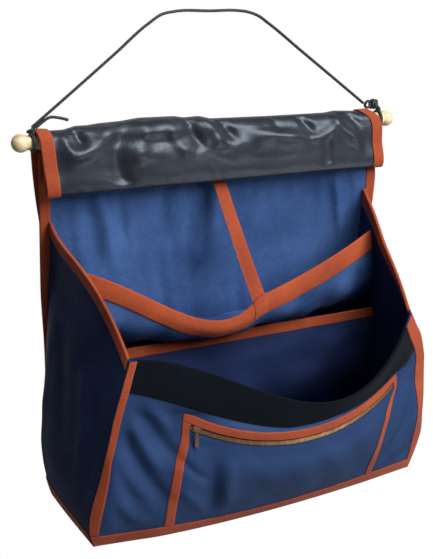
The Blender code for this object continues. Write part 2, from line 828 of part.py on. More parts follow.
def smooth_line(route, spacing):
    """A smooth line through a route's points, with a point about every spacing."""
    p = [2 * route[0] - route[1], *route, 2 * route[-1] - route[-2]]
    line = [route[0]]
    for a, b, c, d in zip(p, p[1:], p[2:], p[3:]):
        steps = max(1, round(np.linalg.norm(c - b) / spacing))
        for k in range(1, steps + 1):
            t = k / steps
            line.append(0.5 * (2 * b + (c - a) * t + (2 * a - 5 * b + 4 * c - d) * t**2
                + (3 * b - a - 3 * c + d) * t**3))
    return line


def make_cord(name, points, root):
    """A cord as a bevelled curve with filled ends."""
    curve = bpy.data.curves.new(name, "CURVE")
    curve.dimensions = "3D"
    curve.bevel_depth = CORD_RADIUS
    curve.bevel_resolution = 2
    curve.use_fill_caps = True
    spline = curve.splines.new("POLY")
    spline.points.add(len(points) - 1)
    for place, point in zip(spline.points, points):
        place.co = (*point, 1.0)
    curve.materials.append(make_material("black_cord"))
    obj = bpy.data.objects.new(name, curve)
    obj.parent = root
    bpy.context.scene.collection.objects.link(obj)


def knot_mesh(side):
    """A loop drawn tight round the dowel, with the knot's lump on top of it."""
    x = side * CORD_LOOP_X
    loop_radius = DOWEL_RADIUS + GAP + CORD_RADIUS
    bm = bmesh.new()
    rings = []
    for i in range(KNOT_TURNS):
        angle = 2 * math.pi * i / KNOT_TURNS
        radial = vec(0, math.cos(angle), math.sin(angle))
        ring = []
        for k in range(KNOT_SIDES):
            around = 2 * math.pi * k / KNOT_SIDES
            offset = radial * math.cos(around) + vec(1, 0, 0) * math.sin(around)
            place = vec(x, 0, 0) + radial * loop_radius + offset * CORD_RADIUS
            ring.append(bm.verts.new(place))
        rings.append(ring)
    for a, b in zip(rings, rings[1:] + rings[:1]):
        for k in range(KNOT_SIDES):
            m = (k + 1) % KNOT_SIDES
            bm.faces.new((a[k], a[m], b[m], b[k]))
    bmesh.ops.recalc_face_normals(bm, faces=bm.faces)
    return bm


def lump_mesh(centre, size):
    bm = bmesh.new()
    bmesh.ops.create_uvsphere(bm, u_segments=14, v_segments=9, radius=1.0)
    bmesh.ops.scale(bm, verts=bm.verts, vec=size)
    bmesh.ops.translate(bm, verts=bm.verts, vec=centre)
    return bm


def join_by_union(target, pieces, root):
    """Joins overlapping pieces to a target by Boolean unions."""
    for index, bm in enumerate(pieces):
        piece = make_object(f"{target.name}_joined_{index}", bm, "black_cord", root)
        piece.hide_render = True
        piece.display_type = "WIRE"
        union = target.modifiers.new(f"union_{index}", "BOOLEAN")
        union.operation = "UNION"
        union.object = piece


def build_knots(root):
    """Both knots: each loop is one body with its lump; the right lump stands on a neck."""
    x = CORD_LOOP_X
    top = DOWEL_RADIUS + CORD_RADIUS
    left = make_object("cord_knot_left", knot_mesh(-1), "black_cord", root)
    small = lump_mesh((-x, 0, top + LEFT_LUMP_REACH), LEFT_LUMP_SIZE)
    join_by_union(left, [small], root)
    right = make_object("cord_knot_right", knot_mesh(1), "black_cord", root)
    place = vec(x - RIGHT_LUMP_REACH, 0, RIGHT_LUMP_HEIGHT)
    shoulder = place + vec(RIGHT_LUMP_SIZE[0] - KNOT_NECK_RADIUS, 0, 0)
    foot = vec(x, 0, top)
    neck = wire_mesh([foot, mix(foot, shoulder, 0.5), shoulder], vec(0, 1, 0), KNOT_NECK_RADIUS)
    join_by_union(right, [lump_mesh(place, RIGHT_LUMP_SIZE), neck], root)


def build_cords(root):
    """The hanging cord from knot to knot, and the short free tail at the left knot."""
    route = [vec(share * CORD_LOOP_X, 0, z) for share, z in CORD_ROUTE]
    make_cord("hanger_cord", smooth_line(route, CORD_SPACING), root)
    tail = [vec(x - CORD_LOOP_X, y, z) for x, y, z in CORD_TAIL_ROUTE]
    make_cord("cord_tail_left", smooth_line(tail, CORD_SPACING), root)


# Bag body


def build_panels(root, front, layout, gussets, back):
    missing = {(layout.slit_top, c) for c in range(layout.slit_left, layout.slit_right)}
    make_object("front_panel", panel_mesh(front, missing=missing), "blue_cloth", root)
    make_object("back_panel", panel_mesh(back), "blue_cloth", root)
    for name, gusset in zip(("side_gusset_left", "side_gusset_right"), gussets):
        make_object(name, panel_mesh(gusset), "blue_cloth_shaded", root)


def build_base(root, front, gussets, back):
    """The flat base under the walls, cut to their outer faces."""
    last = front.rows - 1
    left, right = gussets
    outline = [front.at(last, c, HALF_CLOTH) for c in range(front.columns)]
    outline.extend(right.at(last, c, HALF_CLOTH) for c in range(right.columns - 2, -1, -1))
    behind = float(back_setback(BASE_DROP)) + HALF_CLOTH
    outline.append(vec(right.points[last, 0, 0] + HALF_CLOTH, behind, 0))
    outline.append(vec(left.points[last, 0, 0] - HALF_CLOTH, behind, 0))
    outline.extend(left.at(last, c, HALF_CLOTH) for c in range(0, left.columns - 1))
    bm = bmesh.new()
    level = -BASE_DROP - GAP
    face = bm.faces.new([bm.verts.new((p[0], p[1], level)) for p in outline])
    extruded = bmesh.ops.extrude_face_region(bm, geom=[face])
    moved = [g for g in extruded["geom"] if isinstance(g, bmesh.types.BMVert)]
    bmesh.ops.translate(bm, verts=moved, vec=(0, 0, -BASE_PLY))
    make_object("base_panel", bm, "blue_cloth", root)


def build_edge_strips(root, front, layout, gussets, back):
    """Flat binding tapes on the outer faces, along the front, base and pocket edges."""
    foot_rows = (layout.strip_top, layout.foot)
    wall_rows = (layout.mouth, layout.strip_top)
    left_columns = (layout.left, layout.left_strip)
    right_columns = (layout.right_strip, layout.right)
    strips = {
        "binding_front_left": (front, wall_rows, left_columns),
        "binding_front_right": (front, wall_rows, right_columns),
        "binding_base_front": (front, foot_rows, (layout.left, layout.right)),
        "binding_base_left": (gussets[0], foot_rows, (0, gussets[0].columns - 1)),
        "binding_base_right": (gussets[1], foot_rows, (0, gussets[1].columns - 1)),
        "binding_base_back": (back, (back.rows - 2, back.rows - 1), (0, back.columns - 1)),
        "pocket_trim_top": (
            front,
            (layout.trim_top, layout.slit_top),
            (layout.trim_left, layout.trim_right),
        ),
        "pocket_trim_left": (
            front,
            (layout.slit_top, layout.strip_top),
            (layout.trim_left, layout.slit_left),
        ),
        "pocket_trim_right": (
            front,
            (layout.slit_top, layout.strip_top),
            (layout.slit_right, layout.trim_right),
        ),
    }
    for name, (surface, rows, columns) in strips.items():
        make_object(name, strip_mesh(surface, rows, columns), "rust_tape", root)
    band = strip_mesh(
        front, (layout.mouth, layout.band_foot), (layout.left_strip, layout.right_strip)
    )
    make_object("closure_band_front", band, "dark_strip", root)


def build_back_bindings(root, back):
    """Tapes folded over the back panel's side edges, outside the gussets."""
    for name, side in (("binding_back_left", -1), ("binding_back_right", 1)):
        edge = back.edge_up(side)

        def inside_legs(column, edge=edge):
            drop = -edge.at(0, column)[2]
            covered = flange(drop) - HALF_CLOTH - TAPE - 3 * GAP
            return [edge.row_step(0, column, min(covered, BACK_BINDING_WIDTH))]

        def behind_legs(column, edge=edge):
            return [edge.row_step(0, column, BACK_BINDING_WIDTH)]

        start = edge.column_step(0, 0, GAP)
        end = 1 + edge.column_step(0, edge.columns - 3, GAP)
        mesh = edge_tape(edge, behind_legs, inside_legs, start, end)
        make_object(name, mesh, "rust_tape", root)


def build_mouth_bindings(root, gussets):
    names = ("binding_mouth_left", "binding_mouth_right")
    for name, gusset in zip(names, gussets):
        mesh = even_tape(gusset, MOUTH_BINDING_DEPTH, BINDING_END_ROOM)
        make_object(name, mesh, "rust_tape", root)


# Zip


def build_zip(root, arc, front, layout):
    """Tapes behind the slit, teeth in it, end stops and the pocket's lining."""
    slit = SLIT_WIDTH / 2
    behind = -HALF_CLOTH - GAP
    steps = 2 * (layout.slit_right - layout.slit_left)
    angles = spaced(-arc.half_angle, arc.half_angle, steps + 1)
    centre_room = GAP
    for name, side in (("zip_tape_upper", -1), ("zip_tape_lower", 1)):
        inner, outer = [], []
        for distance in (centre_room, slit, slit + ZIP_TAPE_WIDTH - 2 * TRIM_EDGE):
            inner.append([arc.at(a, side * distance, behind - ZIP_TAPE_PLY) for a in angles])
            outer.append([arc.at(a, side * distance, behind) for a in angles])
        bm = grid_slab(np.array(inner), np.array(outer))
        make_object(name, bm, "zip_tape_brown", root)

    low = behind + GAP
    usable = arc.half_angle - ZIP_END_ROOM / arc.radius
    count = int(2 * usable * arc.radius / TOOTH_PITCH)
    pitch = TOOTH_PITCH / arc.radius
    half_tooth = TOOTH_LENGTH / arc.radius / 2
    first = -count * pitch / 2
    for name, side, shift in (("zip_teeth_upper", -1, 0.25), ("zip_teeth_lower", 1, 0.75)):
        edges = []
        for i in range(count):
            centre = first + (i + shift) * pitch
            edges.extend((centre - half_tooth, centre + half_tooth))
        inner, outer = [], []
        for distance in (-TOOTH_HOOK, TOOTH_REACH - BEAD_WIDTH, TOOTH_REACH):
            inner.append([arc.at(a, side * distance, low) for a in edges])
            outer.append([arc.at(a, side * distance, low + TOOTH_HEIGHT) for a in edges])
        spaces = {(0, c) for c in range(1, 2 * count - 1, 2)}
        comb = grid_slab(np.array(inner), np.array(outer), spaces)
        make_object(name, comb, "antique_brass", root)

    stop_angle = (count * pitch + (STOP_LENGTH + 2 * GAP) / arc.radius) / 2
    for name, side in (("zip_stop_left", -1), ("zip_stop_right", 1)):
        _, along, across, outward = arc.frame(side * stop_angle)
        centre = arc.at(side * stop_angle, 0.0, low + TOOTH_HEIGHT / 2)
        size = (STOP_LENGTH - GAP, 2 * TOOTH_REACH, TOOTH_HEIGHT)
        stop = box_mesh(centre, along, across, outward, size)
        make_object(name, stop, "antique_brass", root)

    rows = inset_range(layout.tape_foot, layout.strip_top - LINING_INSET, LINING_TOP_ROOM, 0.0)
    columns = inset_range(layout.slit_left, layout.slit_right, LINING_INSET, LINING_INSET)
    face = -HALF_CLOTH - 2 * GAP
    lining = patch_mesh(front, rows, columns, face - LINING_PLY, face)
    make_object("zip_pocket_lining", lining, "grey_lining", root)
    return first


def build_slider(root, arc, first_tooth):
    """The slider straddles the teeth; its pull's ring goes round the bridge."""
    hub = make_empty("zip_arc_centre", arc.centre, root)
    half = SLIDER_LENGTH / 2
    angle = first_tooth + (half + GAP) / arc.radius
    _, along, across, outward = arc.frame(angle)
    teeth_top = -HALF_CLOTH + TOOTH_HEIGHT
    plate_low = teeth_top + GAP
    plate_top = plate_low + SLIDER_PLATE
    lip_inner = TOOTH_REACH + GAP
    lip_outer = lip_inner + SLIDER_LIP
    lip_low = -HALF_CLOTH
    outline = [
        (-lip_outer, lip_low),
        (-lip_inner, lip_low),
        (-lip_inner, plate_low),
        (lip_inner, plate_low),
        (lip_inner, lip_low),
        (lip_outer, lip_low),
        (lip_outer, plate_top - SLIDER_BEVEL),
        (lip_outer * SLIDER_TOP_SHARE, plate_top),
        (-lip_outer * SLIDER_TOP_SHARE, plate_top),
        (-lip_outer, plate_top - SLIDER_BEVEL),
    ]
    sections = []
    for share in (-1.0, -SLIDER_BODY_SHARE, SLIDER_BODY_SHARE, 1.0):
        a = angle + share * half / arc.radius
        sections.append([arc.at(a, d, n) for d, n in outline])
    body = loft(sections)

    bar_height = plate_top + BRIDGE_HEIGHT
    bar_half = half * BRIDGE_SHARE
    bar = []
    for x, n in (
        (-bar_half, plate_top - GAP),
        (-bar_half, bar_height - BRIDGE_RADIUS),
        (-bar_half + BRIDGE_RADIUS, bar_height),
        (bar_half - BRIDGE_RADIUS, bar_height),
        (bar_half, bar_height - BRIDGE_RADIUS),
        (bar_half, plate_top - GAP),
    ):
        bar.append(arc.at(angle, 0.0, n, x))
    bridge = wire_mesh(bar, across, BRIDGE_RADIUS)
    origin = tuple(arc.centre)
    slider = make_object("zip_slider", body, "antique_brass", root, origin)
    bridge_object = make_object("zip_slider_bridge", bridge, "antique_brass", root, origin)
    bridge_object.hide_render = True
    bridge_object.display_type = "WIRE"
    union = slider.modifiers.new("bridge", "BOOLEAN")
    union.operation = "UNION"
    union.object = bridge_object

    pivot = arc.at(angle, 0.0, bar_height)
    hang = vec(0, 0, -1)
    hang = unit(hang - outward * (hang @ outward))
    side_way = np.cross(outward, hang)
    ring = []
    for i in range(12):
        turn = 2 * math.pi * i / 12
        radial = across * math.cos(turn) + outward * math.sin(turn)
        loop = []
        for k in range(6):
            around = 2 * math.pi * k / 6
            offset = radial * math.cos(around) + along * math.sin(around)
            loop.append(pivot + radial * RING_RADIUS + offset * RING_WIRE)
        ring.append(loop)
    ring_mesh = closed_ring(ring)
    sections = []
    for distance, share in PULL_OUTLINE:
        centre = pivot + hang * (RING_RADIUS + distance)
        w = side_way * PULL_WIDTH * share
        n = outward * PULL_THICKNESS / 2
        sections.append([centre - w - n, centre + w - n, centre + w + n, centre - w + n])
    place = tuple(pivot)
    pull = make_object("zip_pull", loft(sections), "antique_brass", root, place)
    ring_object = make_object("zip_pull_ring", ring_mesh, "antique_brass", root, place)
    ring_object.hide_render = True
    ring_object.display_type = "WIRE"
    union = pull.modifiers.new("ring", "BOOLEAN")
    union.operation = "UNION"
    union.object = ring_object
    return hub


def wire_mesh(points, side, radius):
    """A bent wire in the plane square to side, with mitred bends."""
    sections = []
    for i, point in enumerate(points):
        before = points[max(i - 1, 0)]
        after = points[min(i + 1, len(points) - 1)]
        forward = unit(after - before)
        up = unit(np.cross(side, forward))
        ring = []
        for k in range(KNOT_SIDES):
            turn = 2 * math.pi * k / KNOT_SIDES
            ring.append(point + (side * math.cos(turn) + up * math.sin(turn)) * radius)
        sections.append(ring)
    return loft(sections)


def closed_ring(rings):
    bm = bmesh.new()
    loops = [[bm.verts.new(p) for p in ring] for ring in rings]
    count = len(loops[0])
    for a, b in zip(loops, loops[1:] + loops[:1]):
        for k in range(count):
            m = (k + 1) % count
            bm.faces.new((a[k], a[m], b[m], b[k]))
    return bm


# Pockets inside the bag


class Cutter:
    """Finds where a line along X meets a gusset, so that a pocket ends just inside it."""

    def __init__(self, gussets):
        self.trees = {}
        for side, gusset in zip((-1, 1), gussets):
            verts = [tuple(p) for row in gusset.points for p in row]
            columns = gusset.columns
            faces = []
            for r in range(gusset.rows - 1):
                for c in range(columns - 1):
                    i = r * columns + c
                    faces.append((i, i + 1, i + columns + 1, i + columns))
            self.trees[side] = BVHTree.FromPolygons(verts, faces)

    def end(self, side, point):
        """The X at which a sheet at this height and depth should stop."""
        hit, normal, _, _ = self.trees[side].ray_cast((0, point[1], point[2]), (side, 0, 0))
        if hit is None:
            return None
        room = (HALF_CLOTH + GAP) / abs(normal[0]) + POCKET_END_ROOM
        return hit[0] - side * room


def hung_pocket(cutter, top_line, shares, foot_drop, belly, tape_depth, rows=6):
    """A pocket hung between the gussets and sewn to the back panel along its foot.

    top_line gives the top edge at a share from the left end to the right one.
    The second and third rows follow the tape that is folded over the edge.
    """
    foot_y = float(back_setback(foot_drop)) - HALF_CLOTH - GAP - POCKET_FOOT_ROOM
    columns = len(shares)
    grid = np.zeros((rows + 2, columns, 3))
    for c, u in enumerate(shares):
        top = top_line(u)
        foot = vec(top[0], foot_y, -foot_drop)
        height = top[2] - foot[2]
        reach, fall = POCKET_UPPER_HANDLE
        first = top + vec(0, -belly * reach, -height * fall)
        back, reach, fall = POCKET_LOWER_HANDLE
        low = -foot_drop - belly * fall
        second = vec(top[0], mix(top[1], foot_y, back) - belly * reach, low)
        line = []
        for v in spaced(0, 1, 61):
            w = 1 - v
            line.append(top * w**3 + 3 * first * w * w * v + 3 * second * w * v * v + foot * v**3)
        line = np.array(line)
        steps = np.linalg.norm(np.diff(line, axis=0), axis=1)
        length = np.concatenate(([0], np.cumsum(steps)))
        marks = [0, tape_depth / 2, *spaced(tape_depth, length[-1], rows)]
        for r, mark in enumerate(marks):
            grid[r, c] = [np.interp(mark, length, line[:, k]) for k in range(3)]
    for r in range(rows + 2):
        left = cutter.end(-1, grid[r, 0])
        right = cutter.end(1, grid[r, -1])
        x = grid[r, :, 0]
        share = (x - x[0]) / (x[-1] - x[0])
        grid[r, :, 0] = x + mix(left - x[0], right - x[-1], share)
    return Surface(grid, (0, -1, 0))


def pocket_tape(surface):
    """The tape over a pocket's top edge, down to its third row."""

    def legs(_):
        return [1.0, 2.0]

    start = surface.column_step(0, 0, BINDING_END_ROOM)
    end = surface.column_step(0, surface.columns - 2, BINDING_END_ROOM)
    return edge_tape(surface, legs, legs, start, end)


def upper_top_line(u):
    """The upper pocket's top edge: a slack left half, then a drawn right half."""
    half = BACK_HALF - BACK_FLANGE
    ends = [vec(s * half, -UPPER_END_REACH, -UPPER_END_DROP) for s in (-1, 1)]
    centre = vec(UPPER_CENTRE_X, -UPPER_CENTRE_REACH, -UPPER_CENTRE_DROP)
    x = mix(-half, half, u)
    if x < UPPER_CENTRE_X:
        t = (x + half) / (UPPER_CENTRE_X + half)
        point = mix(ends[0], centre, t)
        point[2] -= UPPER_LEFT_SAG * sag(t, UPPER_LEFT_PEAK)
        point[1] -= UPPER_LEFT_FULLNESS * sag(t, UPPER_LEFT_FULL_PEAK)
        return point
    t = (x - UPPER_CENTRE_X) / (half - UPPER_CENTRE_X)
    point = mix(centre, ends[1], t)
    point[1] -= UPPER_RIGHT_FULLNESS * sag(t, 0.5)
    return point


def lower_top_line(u):
    half = BACK_HALF - BACK_FLANGE
    return vec(mix(-half, half, u), -LOWER_TOP_REACH, -LOWER_TOP_DROP)


def build_pockets(root, gussets):
    cutter = Cutter(gussets)
    half = BACK_HALF - BACK_FLANGE
    middle = (UPPER_CENTRE_X + half) / (2 * half)
    shares = spaced(0, middle, STRAP_COLUMN + 1) + spaced(middle, 1, STRAP_COLUMN)[1:]
    upper = hung_pocket(
        cutter, upper_top_line, shares, UPPER_FOOT_DROP, UPPER_BELLY, UPPER_BINDING_DEPTH
    )
    lower = hung_pocket(
        cutter, lower_top_line, spaced(0, 1, 13), LOWER_FOOT_DROP, LOWER_BELLY,
        LOWER_BINDING_DEPTH,
    )
    make_object("upper_pocket_panel", panel_mesh(upper), "blue_cloth", root)
    make_object("lower_pocket_panel", panel_mesh(lower), "blue_cloth_shaded", root)
    make_object("upper_pocket_binding", pocket_tape(upper), "rust_tape", root)
    make_object("lower_pocket_binding", pocket_tape(lower), "rust_tape", root)
    return upper


def build_strap(root, upper):
    """The tape that holds up the middle of the upper pocket, over its binding."""
    half = STRAP_WIDTH / 2
    over = TAPE_OUTER + STRAP_ROOM
    on_back = HALF_CLOTH + 3 * GAP
    inner, outer = [], []
    for side in (-1, 0, 1):
        step = side * upper.column_step(0, STRAP_COLUMN, half)
        column = STRAP_COLUMN + step
        edge = upper.at(0, column)
        into = unit(upper.at(1, column) - edge)
        x = STRAP_TOP_X + side * half
        for line, extra in ((inner, 0.0), (outer, TAPE)):
            path = []
            for drop in (STRAP_TOP_DROP, STRAP_SEWN_DROP):
                y = float(back_setback(drop)) - on_back - extra
                path.append(vec(x, y, -drop))
            lift = -into * (GAP + TAPE + GAP + extra)
            path.append(upper.at(0, column, -over * STRAP_OVER_SHARE - extra) + lift)
            path.append(upper.at(0, column, over + extra) + lift)
            path.extend(upper.at(r, column, over + extra) for r in STRAP_END_ROWS)
            line.append(path)
    inner = np.array(inner).transpose(1, 0, 2)
    outer = np.array(outer).transpose(1, 0, 2)
    make_object("pocket_strap", grid_slab(inner, outer), "rust_tape", root)


# Lid


def sheet_along(path, spans, columns=9):
    """A sheet from a path in the plane of Y and Z, between each pair of ends along X."""
    grid = []
    for (y, z), (left, right) in zip(path, spans):
        grid.append([vec(x, y, z) for x in spaced(left, right, columns)])
    return np.array(grid)


def lid_arch_path():
    """Over the dowel: half an ellipse that rests on the sleeve at its top."""
    rise = SLEEVE_OUTER + GAP + TAPE_OUTER
    path = []
    for angle in spaced(0.0, math.pi, 13):
        path.append((-LID_ARCH_REACH * math.cos(angle), rise * math.sin(angle)))
    return path


def lid_front_path():
    """Down the front, round the fold and up behind to the sleeve's front."""
    top = (-LID_ARCH_REACH, -LID_HINGE_ROOM)
    low = -LID_FOLD_DROP + LID_FOLD_RADIUS
    front_low = (-LID_FOLD_REACH, low)
    fold_centre = -LID_FOLD_REACH + LID_FOLD_RADIUS
    path = [top, (mix(top[0], front_low[0], 0.5), mix(top[1], low, 0.5)), front_low]
    for angle in (45, 90, 135, 180):
        turn = math.radians(angle)
        y = fold_centre - LID_FOLD_RADIUS * math.cos(turn)
        path.append((y, low - LID_FOLD_RADIUS * math.sin(turn)))
    seam = math.radians(LID_SEAM_ANGLE)
    steep = math.atan2(
        -path[-1][1] - SLEEVE_OUTER * math.sin(seam),
        -path[-1][0] - SLEEVE_OUTER * math.cos(seam),
    )
    seat = SLEEVE_OUTER + GAP + TAPE_OUTER * math.sin(steep - seam)
    end = (-seat * math.cos(seam), -seat * math.sin(seam))
    path.append((mix(path[-1][0], end[0], 0.5), mix(path[-1][1], end[1], 0.5)))
    path.append(end)
    return path


def tail_path():
    """Down behind the dowel, to rest on the back bindings at its end."""
    seat = float(back_setback(TAIL_DROP)) + TAPE_OUTER + GAP + TAPE_OUTER
    start = (LID_ARCH_REACH, -LID_HINGE_ROOM)
    end = (seat + GAP, -TAIL_DROP)
    return [(mix(start[0], end[0], t), mix(start[1], end[1], t)) for t in spaced(0, 1, 7)]


def build_lid(root):
    arch_path = lid_arch_path()
    spans = []
    for i in range(len(arch_path)):
        share = i / (len(arch_path) - 1)
        rise = math.sin(math.pi * share) ** 2
        ends = zip(LID_FRONT_HINGE_SPAN, LID_TOP_SPAN, LID_TAIL_HINGE_SPAN)
        spans.append([mix(mix(a, c, share), b, rise) for a, b, c in ends])
    arch = Surface(sheet_along(arch_path, spans), (0, 0, 1))
    arch.level_row(0)
    arch.level_row(arch.rows - 1)
    front_path = lid_front_path()
    low = min(range(len(front_path)), key=lambda i: front_path[i][1])
    spans = []
    for i in range(len(front_path)):
        over_hinge = (LID_FRONT_HINGE_SPAN, LID_FOLD_SPAN)
        start, end = over_hinge if i <= low else (LID_FOLD_SPAN, LID_SEAM_SPAN)
        first, last = (0, low) if i <= low else (low, len(front_path) - 1)
        height = front_path[first][1] - front_path[i][1]
        share = height / (front_path[first][1] - front_path[last][1])
        spans.append([mix(a, b, share) for a, b in zip(start, end)])
    front = Surface(sheet_along(front_path, spans), (0, 0, -1))
    path = tail_path()
    spans = []
    for i in range(len(path)):
        share = (i / (len(path) - 1)) ** 2
        left = LID_TAIL_HINGE_SPAN[0] + LID_TAIL_NARROWING[0] * share
        right = LID_TAIL_HINGE_SPAN[1] - LID_TAIL_NARROWING[1] * share
        spans.append((left, right))
    tail = Surface(sheet_along(path, spans), (0, 1, 0))

    front_pivot = (0.0, -LID_ARCH_REACH, 0.0)
    tail_pivot = (0.0, LID_ARCH_REACH, 0.0)
    pieces = (
        ("lid_over_dowel", arch, (0.0, 0.0, 0.0)),
        ("lid_front_fold", front, front_pivot),
        ("lid_tail", tail, tail_pivot),
    )
    for name, surface, pivot in pieces:
        make_object(name, panel_mesh(surface), "grey_lining", root, pivot)
        for end, side in (("_binding_left", -1), ("_binding_right", 1)):
            tape = even_tape(surface.edge_up(side), LID_BINDING_WIDTH, 0.0)
            make_object(name + end, tape, "rust_tape", root, pivot)

    end_tape = even_tape(tail.foot_up(), LID_STRIP_INSET, LID_BINDING_WIDTH + GAP)
    make_object("lid_end_binding", end_tape, "rust_tape", root, tail_pivot)

    last = tail.rows - 1
    start = tail.column_step(last - 1, 0, LID_BINDING_WIDTH + 4 * GAP)
    low = last - tail.row_step(last - 1, 4, LID_STRIP_INSET + GAP)
    high = low - tail.row_step(last - 1, 4, CLOSURE_STRIP_HEIGHT)
    rows = inset_range(high, low, 0.0, 0.0)
    columns = inset_range(0, tail.columns - 1, start, start)
    strip = patch_mesh(tail, rows, columns, TAPE_INNER, TAPE_OUTER)
    make_object("lid_closure_strip", strip, "dark_strip", root, tail_pivot)


def main():
    clear_scene()
    root = make_empty("dowel_axis", (0, 0, -DOWEL_DROP))
    arc = ZipArc()
    layout = FrontLayout(zip_columns=14)
    front = front_surface(arc, layout)
    gussets = [gusset_surface(front, side) for side in (-1, 1)]
    back = back_surface(gussets[0])

    build_dowel(root)
    build_knob(root, "dowel_knob_left", -1)
    build_knob(root, "dowel_knob_right", 1)
    build_sleeve(root)
    build_knots(root)
    build_cords(root)
    build_panels(root, front, layout, gussets, back)
    build_base(root, front, gussets, back)
    build_edge_strips(root, front, layout, gussets, back)
    build_back_bindings(root, back)
    build_mouth_bindings(root, gussets)
    first_tooth = build_zip(root, arc, front, layout)
    build_slider(root, arc, first_tooth)
    upper = build_pockets(root, gussets)
    build_strap(root, upper)
    build_lid(root)


main()
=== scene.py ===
"""The looks of a hanging stable bag: a deep cloth bag on a wooden dowel, with a folded lid.

The rigid pieces come from the shared frame. Every cloth, tape and cord is made
here as a finely sampled sheet or tube. Shapes are worked out in the dowel's
frame, in metres: x along the dowel, the front towards -y, z = 0 on its axis.
"""

from __future__ import annotations

import logging
import math
from dataclasses import dataclass
from enum import Enum
from typing import Callable, Iterable, Sequence

import bmesh
import bpy
import numpy as np
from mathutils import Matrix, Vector
from mathutils.bvhtree import BVHTree

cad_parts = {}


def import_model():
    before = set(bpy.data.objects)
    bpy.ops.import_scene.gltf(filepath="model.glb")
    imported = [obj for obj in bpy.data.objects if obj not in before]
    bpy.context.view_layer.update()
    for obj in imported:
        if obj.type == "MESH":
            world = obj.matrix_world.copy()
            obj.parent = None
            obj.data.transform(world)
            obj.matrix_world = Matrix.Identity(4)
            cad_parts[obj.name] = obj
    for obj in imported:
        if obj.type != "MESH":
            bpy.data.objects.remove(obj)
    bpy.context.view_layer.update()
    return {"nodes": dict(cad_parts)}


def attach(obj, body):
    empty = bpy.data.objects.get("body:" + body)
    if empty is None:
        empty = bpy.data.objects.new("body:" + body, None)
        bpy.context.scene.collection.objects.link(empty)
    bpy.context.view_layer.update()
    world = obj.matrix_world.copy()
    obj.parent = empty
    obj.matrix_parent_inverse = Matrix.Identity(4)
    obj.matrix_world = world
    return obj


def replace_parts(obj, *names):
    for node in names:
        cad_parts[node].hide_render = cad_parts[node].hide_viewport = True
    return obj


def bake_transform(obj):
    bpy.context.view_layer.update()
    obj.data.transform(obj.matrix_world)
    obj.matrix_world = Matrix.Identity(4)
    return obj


LOG = logging.getLogger("stable_bag")
MM = 1000.0
Array = np.ndarray
Point = Sequence[float]
Relief = Callable[[Array, Array, Array], Array]
Pair = tuple[float, float]
Thing = bpy.types.Object
Node = bpy.types.Node
NodeTree = bpy.types.NodeTree
Socket = bpy.types.NodeSocket
Material = bpy.types.Material


# Arithmetic on points


def unit(vectors: Array) -> Array:
    """Scales vectors to a length of one."""
    vectors = np.asarray(vectors, dtype=float)
    return vectors / np.maximum(np.linalg.norm(vectors, axis=-1, keepdims=True), 1e-12)


def mix(a: Array, b: Array, t: Array) -> Array:
    """Goes from a at t = 0 to b at t = 1."""
    return a + (b - a) * t


def smooth(t: Array) -> Array:
    """Eases from 0 to 1."""
    t = np.clip(t, 0.0, 1.0)
    return t * t * (3 - 2 * t)


def sag(u: Array, peak: float) -> Array:
    """A sag that is 0 at both ends and 1 at its peak."""
    skewed = np.clip(u, 0.0, 1.0) ** (math.log(0.5) / math.log(peak))
    return 4 * skewed * (1 - skewed)


def point(x: float, y: float, z: float) -> Array:
    """A point or direction."""
    return np.array((x, y, z), dtype=float)


def ripple(u: Array, v: Array, seed: int, size: float) -> Array:
    """Smooth unevenness that is the same on every run.

    Args:
        u: Distance along the cloth.
        v: Distance down the cloth.
        seed: Which pattern.
        size: The usual distance between its waves, in metres.

    Returns:
        Values between about -1 and 1.
    """
    rng = np.random.default_rng(seed)
    total = np.zeros(np.broadcast(u, v).shape)
    for _ in range(6):
        turn = rng.uniform(0.0, math.tau)
        scale = math.tau / (size * rng.uniform(0.7, 1.7))
        total += np.sin((u * math.cos(turn) + v * math.sin(turn)) * scale + rng.uniform(0.0, math.tau))
    return total / 3.0


def slopes(values: Array, marks: Array, axis: int) -> Array:
    """The slope of a smooth curve through values at each of its marks.

    Args:
        values: The values, with the marks along one axis.
        marks: The distance at which each value lies.
        axis: The axis of the marks.

    Returns:
        The slopes, in the shape of the values.
    """
    values = np.moveaxis(values, axis, 0)
    step = np.diff(marks).reshape(-1, *([1] * (values.ndim - 1)))
    rise = np.diff(values, axis=0) / step
    inner = (rise[:-1] * step[1:] + rise[1:] * step[:-1]) / (step[1:] + step[:-1])
    first = 1.5 * rise[:1] - 0.5 * inner[:1]
    last = 1.5 * rise[-1:] - 0.5 * inner[-1:]
    return np.moveaxis(np.concatenate((first, inner, last)), 0, axis)


def hermite(a: Array, b: Array, slope_a: Array, slope_b: Array, t: Array, step: Array) -> Array:
    """A point of the smooth curve between two marks."""
    s = t * t * (3 - 2 * t)
    return mix(a, b, s) + step * (slope_a * t * (1 - t) ** 2 - slope_b * t * t * (1 - t))


def reach(at: Array, places: Array, values: Array) -> Array:
    """Reads a line through values, carried on straight past its end."""
    slope = (values[-1] - values[-2]) / (places[-1] - places[-2])
    return np.interp(at, places, values) + np.maximum(np.asarray(at, dtype=float) - places[-1], 0.0) * slope


def run_of(line: Array) -> Array:
    """The distance of each point of a line from its start."""
    return np.concatenate(([0.0], np.cumsum(np.linalg.norm(np.diff(line, axis=0), axis=1))))


